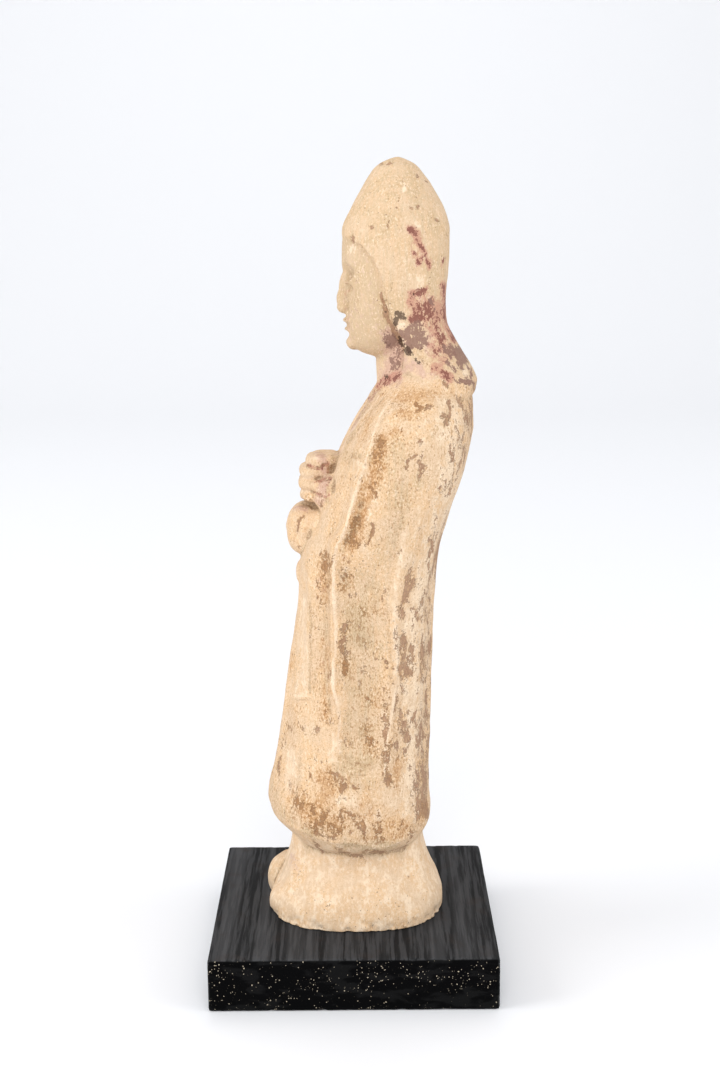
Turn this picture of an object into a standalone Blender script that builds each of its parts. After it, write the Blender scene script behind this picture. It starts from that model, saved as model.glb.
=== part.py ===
"""Pottery attendant figure standing on a square wood plinth.

Metres, +Z up. The origin is the middle of the plinth's underside and the figure faces -Y.
The figure's form is given in shares of its own height: depth along Y, height along Z.
"""

import math

import bmesh
import bpy
import numpy as np

# Sizes of the two pieces.
FIGURE_HEIGHT = 0.266
PLINTH_SIDE = 0.100
PLINTH_THICKNESS = 0.019
PLINTH_EDGE_ROUND = 0.0008
STANDING_GAP = 0.0003

# How closely the modelled skin follows the form.
SKIN_STEP_SHARE = 0.0030
SKIN_SMOOTHING_ROUNDS = 3
RING_CORNERS = 128
RINGS_PER_HEIGHT = 420
FIGURE_TRIANGLES = 8600

# Stations: height, front, back, half width, squareness of the outline (2 is an ellipse).
CLOAK = (
    (0.100, -0.074, 0.086, 0.084, 2.3),
    (0.108, -0.080, 0.093, 0.102, 2.3),
    (0.1165, -0.0850, 0.0990, 0.1145, 2.3),
    (0.131, -0.1015, 0.1055, 0.1230, 2.3),
    (0.144, -0.1120, 0.1060, 0.1265, 2.3),
    (0.160, -0.1160, 0.1045, 0.1280, 2.3),
    (0.199, -0.108, 0.1035, 0.127, 2.3),
    (0.256, -0.0975, 0.105, 0.124, 2.3),
    (0.342, -0.0855, 0.1075, 0.123, 2.3),
    (0.425, -0.072, 0.110, 0.126, 2.3),
    (0.4925, -0.0665, 0.1175, 0.1315, 2.3),
    (0.549, -0.0445, 0.131, 0.137, 2.3),
    (0.6015, -0.0245, 0.148, 0.139, 2.3),
    (0.639, -0.0095, 0.157, 0.1355, 2.25),
    (0.6655, 0.004, 0.1615, 0.128, 2.2),
    (0.692, 0.0205, 0.161, 0.114, 2.1),
    (0.714, 0.0345, 0.157, 0.094, 2.05),
    (0.731, 0.045, 0.149, 0.0735, 2.0),
    (0.744, 0.0525, 0.141, 0.0545, 2.0),
)
UNDERSKIRT = (
    (-0.015, -0.1150, 0.1215, 0.1095, 2.5),
    (0.000, -0.1150, 0.1225, 0.1100, 2.5),
    (0.0115, -0.1135, 0.1228, 0.1092, 2.5),
    (0.030, -0.1075, 0.118, 0.105, 2.5),
    (0.0525, -0.097, 0.108, 0.098, 2.4),
    (0.075, -0.0895, 0.100, 0.091, 2.3),
    (0.098, -0.0845, 0.095, 0.087, 2.3),
    (0.135, -0.083, 0.094, 0.085, 2.3),
)
HOOD = (
    (0.699, 0.100, 0.157, 0.072, 2.0),
    (0.7065, 0.080, 0.1635, 0.085, 2.1),
    (0.719, 0.066, 0.166, 0.087, 2.1),
    (0.733, 0.055, 0.161, 0.0795, 2.1),
    (0.752, 0.045, 0.150, 0.0705, 2.1),
    (0.7745, 0.032, 0.137, 0.0670, 2.1),
    (0.797, 0.021, 0.1265, 0.0675, 2.1),
    (0.823, 0.0115, 0.1245, 0.070, 2.1),
    (0.8535, 0.000, 0.1275, 0.0715, 2.1),
    (0.8835, -0.0075, 0.1297, 0.0705, 2.1),
    (0.910, -0.008, 0.1297, 0.067, 2.05),
    (0.940, 0.0045, 0.122, 0.0585, 2.0),
    (0.964, 0.018, 0.109, 0.0450, 2.0),
    (0.981, 0.0285, 0.0965, 0.0335, 2.0),
    (0.9925, 0.0395, 0.0855, 0.0225, 2.0),
    (0.999, 0.0525, 0.0725, 0.010, 2.0),
    (1.0015, 0.0595, 0.0655, 0.003, 2.0),
)
HEAD = (
    (0.751, 0.032, 0.110, 0.026, 2.0),
    (0.757, 0.015, 0.112, 0.034, 2.0),
    (0.765, 0.005, 0.115, 0.0405, 2.0),
    (0.778, -0.001, 0.118, 0.0475, 2.0),
    (0.797, -0.003, 0.118, 0.0545, 2.05),
    (0.822, -0.003, 0.118, 0.0600, 2.1),
    (0.850, -0.0055, 0.118, 0.0615, 2.15),
    (0.872, -0.0085, 0.118, 0.0600, 2.15),
    (0.900, -0.0075, 0.115, 0.0550, 2.1),
    (0.930, 0.003, 0.108, 0.0440, 2.0),
)
NECK = (
    (0.690, 0.030, 0.130, 0.046, 2.0),
    (0.720, 0.036, 0.125, 0.044, 2.0),
    (0.745, 0.035, 0.120, 0.043, 2.0),
    (0.775, 0.036, 0.115, 0.046, 2.0),
)

# The hood's front edge: height and depth, from the neck up to the middle of the forehead.
HOOD_EDGE = (
    (0.720, 0.060),
    (0.740, 0.066),
    (0.766, 0.068),
    (0.784, 0.062),
    (0.797, 0.052),
    (0.826, 0.047),
    (0.856, 0.0385),
    (0.876, 0.029),
    (0.893, 0.015),
    (0.903, -0.007),
    (0.912, -0.060),
)
HOOD_EDGE_ROUNDING = (-0.004, 0.001)
HOOD_SINK_DEPTH = 0.022
HOOD_SINK_WIDTH_SHARE = 0.31

# Where the carving stops: heights, depth, and how far the skin turns away from the side or the front.
CLOAK_TOP = (0.722, 0.735)
FACE_BOTTOM = (0.755, 0.770)
FACE_BACK = 0.030
SIDE_TURN = (0.15, 0.60)
FRONT_TURN = (0.20, 0.65)
FOLD_FADE_SHARE = 0.18

# Rounded lumps: middle (across, depth, height), half sizes, squareness.
HANDS = (
    ((0.003, -0.034, 0.5900), (0.034, 0.0230, 0.0370), 2.6),
    ((0.004, -0.034, 0.6165), (0.035, 0.0250, 0.0115), 2.3),
    ((0.001, -0.040, 0.6035), (0.040, 0.0275, 0.0105), 2.6),
    ((-0.001, -0.042, 0.5875), (0.041, 0.0275, 0.0105), 2.6),
    ((-0.002, -0.042, 0.5715), (0.039, 0.0245, 0.0110), 2.6),
)
CUFF = (
    ((0.000, -0.0500, 0.5250), (0.044, 0.0345, 0.0350), 2.8),
    ((0.002, -0.0640, 0.4660), (0.017, 0.0100, 0.0170), 2.2),
)
TOES = (
    ((-0.038, -0.0860, 0.0160), (0.031, 0.0350, 0.0350), 2.3),
    ((0.036, -0.0810, 0.0130), (0.029, 0.0340, 0.0290), 2.3),
)

# Sleeves over the forearms: start and end (across, depth, height), radius at each end.
FOREARMS = (
    ((0.090, 0.040, 0.560), (0.040, -0.016, 0.575), 0.037, 0.030),
    ((0.088, 0.036, 0.532), (0.036, -0.024, 0.532), 0.034, 0.029),
    ((-0.090, 0.040, 0.560), (-0.040, -0.016, 0.575), 0.037, 0.030),
    ((-0.088, 0.036, 0.532), (-0.036, -0.024, 0.532), 0.034, 0.029),
)
FACE_LUMPS = (
    ((0.000, -0.0050, 0.8140), (0.0135, 0.0120, 0.0085), 2.0),
    ((0.000, -0.0035, 0.8340), (0.0070, 0.0095, 0.0270), 2.0),
    ((0.000, -0.0005, 0.7965), (0.0185, 0.0080, 0.0048), 2.0),
    ((0.000, 0.0008, 0.7870), (0.0150, 0.0080, 0.0050), 2.0),
    ((0.000, 0.0065, 0.7700), (0.0160, 0.0105, 0.0110), 2.0),
    ((0.0235, 0.0050, 0.8480), (0.0145, 0.0110, 0.0075), 2.0),
    ((-0.0235, 0.0050, 0.8480), (0.0145, 0.0110, 0.0075), 2.0),
)

# Folds pressed in from the sides: path of depth and height, half width, height of the fold.
SIDE_FOLDS = (
    (
        ((0.034, 0.675), (0.023, 0.631), (0.012, 0.605), (-0.002, 0.556), (-0.018, 0.525), (-0.0200, 0.470))
        + ((-0.0210, 0.337), (-0.0145, 0.318), (-0.021, 0.262)),
        0.007,
        0.0060,
    ),
    (((-0.050, 0.500), (-0.0515, 0.420), (-0.055, 0.369), (-0.059, 0.324)), 0.008, 0.0028),
    (((-0.036, 0.490), (-0.038, 0.400), (-0.041, 0.300)), 0.010, -0.0030),
    (
        ((0.096, 0.610), (0.074, 0.527), (0.0635, 0.499), (0.0555, 0.457), (0.051, 0.420), (0.0535, 0.375))
        + ((0.050, 0.320), (0.044, 0.240)),
        0.009,
        0.0038,
    ),
    (((0.004, 0.520), (0.012, 0.440), (0.014, 0.330), (0.015, 0.236)), 0.022, -0.0080),
    (((0.060, 0.560), (0.038, 0.500), (0.030, 0.450)), 0.014, -0.0030),
    (((0.062, 0.718), (0.033, 0.694), (0.003, 0.650), (-0.0125, 0.611), (-0.032, 0.562)), 0.0055, -0.0040),
    (((0.012, 0.590), (-0.006, 0.552), (-0.022, 0.530)), 0.008, -0.0030),
    (
        ((-0.038, 0.557), (-0.050, 0.559), (-0.063, 0.548), (-0.073, 0.525), (-0.066, 0.503)),
        0.0045,
        -0.0040,
    ),
    (((0.085, 0.330), (0.080, 0.250), (0.078, 0.190)), 0.018, -0.0025),
)
# Folds seen from the front and from the back: path of across and height.
FRONT_FOLDS = (
    (((0.030, 0.480), (0.031, 0.350), (0.034, 0.230), (0.036, 0.130)), 0.0060, -0.0050),
    (((0.042, 0.480), (0.044, 0.350), (0.047, 0.230), (0.049, 0.140)), 0.0080, 0.0030),
    (((-0.028, 0.480), (-0.030, 0.350), (-0.032, 0.230), (-0.034, 0.130)), 0.0060, -0.0050),
    (((-0.040, 0.480), (-0.042, 0.350), (-0.045, 0.230), (-0.047, 0.140)), 0.0080, 0.0030),
    (((0.002, 0.450), (0.000, 0.350), (0.003, 0.240), (0.001, 0.150)), 0.0100, -0.0035),
    (((0.000, 0.655), (0.018, 0.690), (0.030, 0.722)), 0.0050, -0.0040),
    (((-0.003, 0.650), (-0.018, 0.688), (-0.030, 0.722)), 0.0050, -0.0040),
    (((0.000, 0.640), (0.000, 0.668), (0.002, 0.700)), 0.0120, -0.0030),
    (((0.012, 0.085), (0.014, 0.040), (0.016, 0.010)), 0.0080, -0.0025),
    (((-0.012, 0.085), (-0.013, 0.040), (-0.014, 0.010)), 0.0080, -0.0025),
)
BACK_FOLDS = (
    (((0.000, 0.560), (0.002, 0.400), (-0.002, 0.180)), 0.0220, -0.0035),
    (((0.055, 0.600), (0.052, 0.400), (0.056, 0.180)), 0.0150, -0.0030),
    (((-0.054, 0.600), (-0.051, 0.400), (-0.056, 0.180)), 0.0150, -0.0030),
    (((0.028, 0.500), (0.027, 0.350), (0.029, 0.190)), 0.0090, 0.0025),
    (((-0.028, 0.500), (-0.026, 0.350), (-0.029, 0.190)), 0.0090, 0.0025),
)
# Hollows and creases of the face, seen from the front.
FACE_CREASES = (
    (((0.010, 0.848), (0.024, 0.857), (0.038, 0.852)), 0.0060, -0.0030),
    (((-0.010, 0.848), (-0.024, 0.857), (-0.038, 0.852)), 0.0060, -0.0030),
    (((0.011, 0.846), (0.024, 0.846), (0.037, 0.845)), 0.0026, -0.0022),
    (((-0.011, 0.846), (-0.024, 0.846), (-0.037, 0.845)), 0.0026, -0.0022),
    (((-0.019, 0.7920), (0.000, 0.7912), (0.019, 0.7920)), 0.0026, -0.0022),
    (((-0.011, 0.7800), (0.000, 0.7790), (0.011, 0.7800)), 0.0040, -0.0022),
)


def clear_scene():
    for item in list(bpy.data.objects):
        bpy.data.objects.remove(item, do_unlink=True)


def material(name, colour, roughness):
    made = bpy.data.materials.new(name)
    made.use_nodes = True
    shader = made.node_tree.nodes["Principled BSDF"]
    shader.inputs["Base Color"].default_value = (*colour, 1.0)
    shader.inputs["Roughness"].default_value = roughness
    return made


def curve_through(levels, values, at):
    """A smooth curve through the stations that never swings past them."""
    steps = np.diff(levels)
    slopes = np.diff(values) / steps
    before, after = slopes[:-1], slopes[1:]
    same_way = before * after > 0
    total = np.where(same_way, before + after, 1.0)
    inner = np.where(same_way, 2.0 * before * after / total, 0.0)
    tangents = np.concatenate([slopes[:1], inner, slopes[-1:]])
    at = np.clip(at, levels[0], levels[-1])
    span = np.clip(np.searchsorted(levels, at, side="right") - 1, 0, len(steps) - 1)
    step = steps[span]
    t = (at - levels[span]) / step
    start = (1 + 2 * t) * (1 - t) ** 2 * values[span] + t * (1 - t) ** 2 * step * tangents[span]
    end = t * t * (3 - 2 * t) * values[span + 1] + t * t * (t - 1) * step * tangents[span + 1]
    return start + end


def signed_power(value, power):
    return np.sign(value) * np.abs(value) ** power


def loft(stations):
    """Points and faces of a closed skin over level rings, in shares of the height."""
    table = np.array(stations)
    levels = table[:, 0]
    count = max(8, round((levels[-1] - levels[0]) * RINGS_PER_HEIGHT))
    heights = np.linspace(levels[0], levels[-1], count)
    front, back, half_width, square = (curve_through(levels, table[:, i], heights) for i in range(1, 5))
    turn = np.arange(RING_CORNERS) * 2 * math.pi / RING_CORNERS
    power = 2.0 / square[:, None]
    across = half_width[:, None] * signed_power(np.cos(turn), power)
    depth = (front + back)[:, None] / 2 + (back - front)[:, None] / 2 * signed_power(np.sin(turn), power)
    points = np.stack([across, depth, np.repeat(heights[:, None], RING_CORNERS, axis=1)], axis=2)
    faces = []
    for ring in range(count - 1):
        for corner in range(RING_CORNERS):
            beside = (corner + 1) % RING_CORNERS
            low, high = ring * RING_CORNERS, (ring + 1) * RING_CORNERS
            faces.append((low + corner, low + beside, high + beside, high + corner))
    faces.append(tuple(range(RING_CORNERS))[::-1])
    faces.append(tuple(range((count - 1) * RING_CORNERS, count * RING_CORNERS)))
    return points.reshape(-1, 3), faces


def lump(middle, half_sizes, squareness):
    """A closed rounded lump of clay."""
    rows, corners = 24, 48
    tilt = np.linspace(-math.pi / 2, math.pi / 2, rows + 1)[1:-1]
    turn = np.arange(corners) * 2 * math.pi / corners
    power = 2.0 / squareness
    out = signed_power(np.cos(tilt), power)[:, None]
    points = np.stack(
        [
            out * signed_power(np.cos(turn), power),
            out * signed_power(np.sin(turn), power),
            np.repeat(signed_power(np.sin(tilt), power)[:, None], corners, axis=1),
        ],
        axis=2,
    )
    points = np.concatenate([points.reshape(-1, 3), [[0, 0, -1], [0, 0, 1]]])
    faces = []
    for row in range(rows - 2):
        for corner in range(corners):
            beside = (corner + 1) % corners
            low, high = row * corners, (row + 1) * corners
            faces.append((low + corner, low + beside, high + beside, high + corner))
    bottom, top, last = (rows - 1) * corners, (rows - 1) * corners + 1, (rows - 2) * corners
    for corner in range(corners):
        beside = (corner + 1) % corners
        faces.append((bottom, beside, corner))
        faces.append((top, last + corner, last + beside))
    return points * np.array(half_sizes) + np.array(middle), faces


def limb(start, end, start_radius, end_radius):
    """A closed tapering tube with round ends, from one point to the other."""
    rows, corners = 40, 48
    start, end = np.array(start), np.array(end)
    length = np.linalg.norm(end - start)
    ahead = (end - start) / length
    beside = np.cross(ahead, (0.0, 0.0, 1.0))
    beside /= np.linalg.norm(beside)
    above = np.cross(beside, ahead)
    along = np.linspace(-start_radius, length + end_radius, rows + 1)[1:-1]
    share = np.clip(along / length, 0.0, 1.0)
    radius = start_radius + (end_radius - start_radius) * share
    past_end = np.maximum(-along, along - length).clip(0.0)
    around = np.sqrt(np.maximum(radius**2 - past_end**2, (0.1 * radius) ** 2))
    turn = np.arange(corners) * 2 * math.pi / corners
    ring = np.cos(turn)[:, None] * beside + np.sin(turn)[:, None] * above
    points = start + along[:, None, None] * ahead + around[:, None, None] * ring
    faces = []
    for row in range(rows - 2):
        for corner in range(corners):
            following = (corner + 1) % corners
            low, high = row * corners, (row + 1) * corners
            faces.append((low + corner, high + corner, high + following, low + following))
    faces.append(tuple(range(corners)))
    faces.append(tuple(range((rows - 2) * corners, (rows - 1) * corners))[::-1])
    return points.reshape(-1, 3), faces


def soft_step(value, low, high):
    t = np.clip((value - low) / (high - low), 0.0, 1.0)
    return t * t * (3 - 2 * t)


def open_hood(points):
    """Sinks the hood in front of its edge, so that the face shows."""
    edge = np.array(HOOD_EDGE)
    depth_of_edge = np.interp(points[:, 2], edge[:, 0], edge[:, 1])
    in_front = 1 - soft_step(points[:, 1] - depth_of_edge, *HOOD_EDGE_ROUNDING)
    in_front *= (points[:, 2] > edge[0, 0]) & (points[:, 2] < edge[-1, 0])
    sunk = points.copy()
    sunk[:, 0] *= 1 - in_front * HOOD_SINK_WIDTH_SHARE
    sunk[:, 1] += in_front * HOOD_SINK_DEPTH
    return sunk


def join_shapes(shapes):
    points, faces, first = [], [], 0
    for shape_points, shape_faces in shapes:
        points.append(shape_points)
        faces += [tuple(first + index for index in face) for face in shape_faces]
        first += len(shape_points)
    return np.concatenate(points), faces


def figure_shapes():
    hood_points, hood_faces = loft(HOOD)
    shapes = [loft(CLOAK), loft(UNDERSKIRT), (open_hood(hood_points), hood_faces), loft(HEAD), loft(NECK)]
    for group in (HANDS, CUFF, TOES, FACE_LUMPS):
        shapes += [lump(*each) for each in group]
    shapes += [limb(*each) for each in FOREARMS]
    return join_shapes(shapes)


def new_object(name, points, faces):
    mesh = bpy.data.meshes.new(name)
    mesh.from_pydata(points.tolist(), [], faces)
    made = bpy.data.objects.new(name, mesh)
    bpy.context.scene.collection.objects.link(made)
    return made


def keep_evaluated(item):
    """Replaces the object's mesh by what its modifiers make of it, and drops the modifiers."""
    graph = bpy.context.evaluated_depsgraph_get()
    made = bpy.data.meshes.new_from_object(item.evaluated_get(graph))
    item.modifiers.clear()
    item.data = made
    return made


def fuse(item):
    """Presses the overlapping shapes into one skin and wipes the joins smooth."""
    remesh = item.modifiers.new("one_skin", "REMESH")
    remesh.mode = "VOXEL"
    remesh.voxel_size = SKIN_STEP_SHARE
    smooth = item.modifiers.new("wiped_clay", "SMOOTH")
    smooth.factor = 0.5
    smooth.iterations = SKIN_SMOOTHING_ROUNDS
    keep_evaluated(item)


def near_path(places, path):
    """Distance of each place to a line of straight runs, and how far along it that is, as a share."""
    corners = np.array(path)
    runs = np.diff(corners, axis=0)
    lengths = np.hypot(runs[:, 0], runs[:, 1])
    nearest = np.full(len(places), np.inf)
    share = np.zeros(len(places))
    for start, run, length, before in zip(corners, runs, lengths, np.cumsum(lengths) - lengths):
        along = np.clip((places - start) @ run / length**2, 0.0, 1.0)
        away = places - start - along[:, None] * run
        distance = np.hypot(away[:, 0], away[:, 1])
        closer = distance < nearest
        nearest = np.where(closer, distance, nearest)
        share = np.where(closer, (before + along * length) / lengths.sum(), share)
    return nearest, share


def pressed(places, facing, folds):
    """How far the folds raise (or sink) the skin at each place."""
    raised = np.zeros(len(places))
    for path, half_width, height in folds:
        distance, share = near_path(places, path)
        reach = distance / (2 * half_width)
        fading = soft_step(share, 0.0, FOLD_FADE_SHARE) * (1 - soft_step(share, 1 - FOLD_FADE_SHARE, 1.0))
        raised += height * fading * np.clip(1 - reach**2, 0.0, 1.0) ** 2
    return raised * facing


def carve(item):
    """Works the folds, the collar and the face into the fused skin, along its normals."""
    mesh = item.data
    points = np.empty(len(mesh.vertices) * 3)
    normals = np.empty(len(mesh.vertices) * 3, dtype=np.float32)
    mesh.vertices.foreach_get("co", points)
    mesh.vertex_normals.foreach_get("vector", normals)
    points, normals = points.reshape(-1, 3), normals.reshape(-1, 3)
    across, depth, height = points.T
    below_neck = 1 - soft_step(height, *CLOAK_TOP)
    on_face = soft_step(height, *FACE_BOTTOM) * (depth < FACE_BACK)
    sideways = soft_step(np.abs(normals[:, 0]), *SIDE_TURN)
    forwards = soft_step(-normals[:, 1], *FRONT_TURN)
    backwards = soft_step(normals[:, 1], *FRONT_TURN)
    seen_from_side = np.stack([depth, height], axis=1)
    seen_from_front = np.stack([across, height], axis=1)
    raised = pressed(seen_from_side, sideways * below_neck, SIDE_FOLDS)
    raised += pressed(seen_from_front, forwards * below_neck, FRONT_FOLDS)
    raised += pressed(seen_from_front, backwards * below_neck, BACK_FOLDS)
    raised += pressed(seen_from_front, forwards * on_face, FACE_CREASES)
    points += normals * raised[:, None]
    mesh.vertices.foreach_set("co", points.ravel())
    mesh.update()


def thin_out(item, triangles):
    item.data.calc_loop_triangles()
    decimate = item.modifiers.new("fewer_faces", "DECIMATE")
    decimate.use_collapse_triangulate = True
    decimate.ratio = min(1.0, triangles / len(item.data.loop_triangles))
    keep_evaluated(item)


def cut_flat_underside(item):
    """Cuts the skirt's rim level, so that the figure stands on it."""
    body = bmesh.new()
    body.from_mesh(item.data)
    everything = body.verts[:] + body.edges[:] + body.faces[:]
    bmesh.ops.bisect_plane(body, geom=everything, plane_co=(0, 0, 0), plane_no=(0, 0, 1), clear_inner=True)
    rim = [edge for edge in body.edges if edge.is_boundary]
    underside = bmesh.ops.contextual_create(body, geom=rim)["faces"]
    bmesh.ops.triangulate(body, faces=underside)
    body.to_mesh(item.data)
    body.free()


def attendant_figure():
    figure = new_object("attendant_figure", *figure_shapes())
    fuse(figure)
    carve(figure)
    thin_out(figure, FIGURE_TRIANGLES)
    cut_flat_underside(figure)
    for vertex in figure.data.vertices:
        vertex.co *= FIGURE_HEIGHT
        vertex.co.z += PLINTH_THICKNESS + STANDING_GAP
    figure.data.polygons.foreach_set("use_smooth", [True] * len(figure.data.polygons))
    figure.data.materials.append(material("slipped_pottery", (0.78, 0.62, 0.44), 0.85))
    return figure


def wood_plinth():
    half = PLINTH_SIDE / 2
    levels = (0.0, PLINTH_THICKNESS)
    points = np.array([(x, y, z) for z in levels for y in (-half, half) for x in (-half, half)])
    faces = [(0, 2, 3, 1), (4, 5, 7, 6), (0, 1, 5, 4), (2, 6, 7, 3), (0, 4, 6, 2), (1, 3, 7, 5)]
    plinth = new_object("wood_plinth", points, faces)
    bevel = plinth.modifiers.new("worn_edges", "BEVEL")
    bevel.width = PLINTH_EDGE_ROUND
    bevel.segments = 2
    plinth.data.materials.append(material("black_stained_wood", (0.018, 0.017, 0.017), 0.6))
    return plinth


clear_scene()
attendant_figure()
wood_plinth()
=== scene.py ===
"""Looks of the pottery attendant figure on its wood plinth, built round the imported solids."""

import math

import bmesh
import bpy
import numpy as np
from mathutils import Matrix, Vector


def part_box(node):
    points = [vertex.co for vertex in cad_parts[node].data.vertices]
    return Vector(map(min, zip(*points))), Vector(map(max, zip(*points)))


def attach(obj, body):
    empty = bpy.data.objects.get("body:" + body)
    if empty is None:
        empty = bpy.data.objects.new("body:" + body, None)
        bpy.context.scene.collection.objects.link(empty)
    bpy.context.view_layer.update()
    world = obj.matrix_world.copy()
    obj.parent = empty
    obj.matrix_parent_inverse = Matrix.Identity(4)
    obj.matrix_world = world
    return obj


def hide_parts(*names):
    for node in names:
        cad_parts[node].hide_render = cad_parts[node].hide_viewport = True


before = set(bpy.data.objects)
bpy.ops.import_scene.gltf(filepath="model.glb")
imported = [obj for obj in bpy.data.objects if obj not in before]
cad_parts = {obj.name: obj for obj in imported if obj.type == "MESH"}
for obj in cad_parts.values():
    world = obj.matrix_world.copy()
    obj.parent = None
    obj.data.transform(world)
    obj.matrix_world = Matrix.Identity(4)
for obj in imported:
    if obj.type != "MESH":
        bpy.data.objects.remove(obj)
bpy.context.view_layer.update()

# Camera.
# It stands at the figure's left, a little above its hands, and looks slightly down on the plinth.
# The place, the lens and the tilt make the plinth's corners fall where the photograph has them.
PHOTO_HEIGHT = 1077
FOCAL_PIXELS = 1629.1
LOOKING_DOWN = math.radians(11.792)
ROLLED = math.radians(-0.456)
STANDS_AT = (0.5624, 0.0033, 0.2721)

camera = bpy.data.objects.new("camera", bpy.data.cameras.new("camera"))
bpy.context.scene.collection.objects.link(camera)
camera.data.sensor_fit = "AUTO"
camera.data.sensor_width = 36.0
camera.data.lens = 36.0 * FOCAL_PIXELS / PHOTO_HEIGHT
camera.data.clip_start = 0.01
ahead = Vector((-math.cos(LOOKING_DOWN), 0.0, -math.sin(LOOKING_DOWN)))
level_right = Vector((0.0, 1.0, 0.0))
level_up = level_right.cross(ahead)
right = level_right * math.cos(ROLLED) + level_up * math.sin(ROLLED)
up = level_up * math.cos(ROLLED) - level_right * math.sin(ROLLED)
camera.matrix_world = Matrix.Translation(STANDS_AT) @ Matrix((right, up, -ahead)).transposed().to_4x4()
bpy.context.scene.camera = camera

# Paper sweep and lights.
# One sheet of white paper lies under the plinth and curves up behind it, so that no edge shows.
# Four soft boxes light the figure from the camera's side, a fifth one lights the paper behind it.
SWEEP_HALF_WIDTH = 3.0
SWEEP_NEAR = 2.0
SWEEP_BEND_AT = -1.5
SWEEP_BEND_RADIUS = 1.3
SWEEP_TOP = 3.2
PAPER_WHITE = (0.908, 0.91, 0.925)
PAPER_FIBRE = (0.88, 0.885, 0.90)
ROOM_WHITE = (0.95, 0.97, 1.0, 1.0)
ROOM_BRIGHTNESS = 0.62
# Soft boxes: name, place, what it points at, width and height in metres, watts.
SOFT_BOXES = (
    ("main_soft_box", (1.80, 0.10, 1.70), (0.0, 0.0, 0.15), 1.6, 1.6, 21.5),
    ("left_soft_box", (0.50, -2.20, 1.20), (0.0, 0.0, 0.15), 1.4, 1.4, 28.0),
    ("right_soft_box", (0.70, 2.20, 1.20), (0.0, 0.0, 0.15), 1.4, 1.4, 14.0),
    ("low_soft_box", (1.90, 0.0, 0.15), (0.0, 0.0, 0.05), 1.4, 0.8, 7.8),
    ("paper_soft_box", (-1.35, 0.0, 1.70), (-1.35, 0.0, 0.0), 2.0, 0.7, 4.8),
)


class Value:
    """A value inside a finish. Sums written with it add the Math nodes that work them out."""

    def __init__(self, tree, socket):
        self.tree = tree
        self.socket = socket

    def work_out(self, operation, *terms):
        maths = self.tree.nodes.new("ShaderNodeMath")
        maths.operation = operation
        for place, term in zip(maths.inputs, terms):
            if isinstance(term, Value):
                self.tree.links.new(term.socket, place)
            else:
                place.default_value = term
        return Value(self.tree, maths.outputs[0])

    def __add__(self, other):
        return self.work_out("ADD", self, other)

    def __radd__(self, other):
        return self.work_out("ADD", other, self)

    def __sub__(self, other):
        return self.work_out("SUBTRACT", self, other)

    def __rsub__(self, other):
        return self.work_out("SUBTRACT", other, self)

    def __mul__(self, other):
        return self.work_out("MULTIPLY", self, other)

    def __rmul__(self, other):
        return self.work_out("MULTIPLY", other, self)


class Finish:
    """One material: its nodes are added by kind, and it ends in a Principled surface."""

    def __init__(self, name):
        self.material = bpy.data.materials.new(name)
        self.material.use_nodes = True
        self.tree = self.material.node_tree
        self.surface = self.tree.nodes["Principled BSDF"]

    def node(self, kind, settings=None, sockets=None, output=0):
        """Adds a node: its settings first, then the values or links of its sockets."""
        made = self.tree.nodes.new("ShaderNode" + kind)
        for name, value in (settings or {}).items():
            setattr(made, name, value)
        for name, value in (sockets or {}).items():
            self.set(made.inputs[name], value)
        return Value(self.tree, made.outputs[output])

    def set(self, socket, value):
        if isinstance(value, Value):
            self.tree.links.new(value.socket, socket)
        elif isinstance(value, tuple) and socket.type == "RGBA":
            socket.default_value = (*value, 1.0)
        else:
            socket.default_value = value

    def blend(self, share, under, over, way="MIX"):
        """The colour under, covered by the colour over by this share."""
        settings = {"data_type": "RGBA", "blend_type": way, "clamp_factor": True}
        return self.node("Mix", settings, {0: share, 6: under, 7: over}, output=2)

    def tinted(self, share, under, over):
        """The colour under, multiplied by the colour over by this share."""
        return self.blend(share, under, over, way="MULTIPLY")

    def step(self, value, low, high):
        """0 below low, 1 above high, and soft in between."""
        sockets = {"Value": value, "From Min": low, "From Max": high}
        return self.node("MapRange", {"interpolation_type": "SMOOTHSTEP"}, sockets)

    def stretched(self, places, by):
        """The places, drawn out along the axes where by is under 1."""
        return self.node("VectorMath", {"operation": "MULTIPLY"}, {0: places, 1: by})

    def lumps(self, places, size, detail=3.0, roughness=0.5, distortion=0.0):
        """Soft noise with lumps of about this size in metres."""
        sockets = {
            "Vector": places,
            "Scale": 1.0 / size,
            "Detail": detail,
            "Roughness": roughness,
            "Distortion": distortion,
        }
        return self.node("TexNoise", {}, sockets)


def set_surface(finish, **values):
    for name, value in values.items():
        finish.set(finish.surface.inputs[name.replace("_", " ")], value)


def shape(name, points, faces, finish):
    """A mesh object of these points and faces, smooth shaded, in its finish."""
    mesh = bpy.data.meshes.new(name)
    mesh.from_pydata(points.tolist(), [], faces)
    mesh.polygons.foreach_set("use_smooth", [True] * len(mesh.polygons))
    made = bpy.data.objects.new(name, mesh)
    bpy.context.scene.collection.objects.link(made)
    mesh.materials.append(finish.material)
    return made


paper = Finish("white_paper")
fibres = paper.lumps(paper.node("TexCoord", output="Object"), 0.02, detail=4.0)
set_surface(paper, Base_Color=paper.blend(fibres * 0.08, PAPER_WHITE, PAPER_FIBRE), Roughness=0.9)

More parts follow.
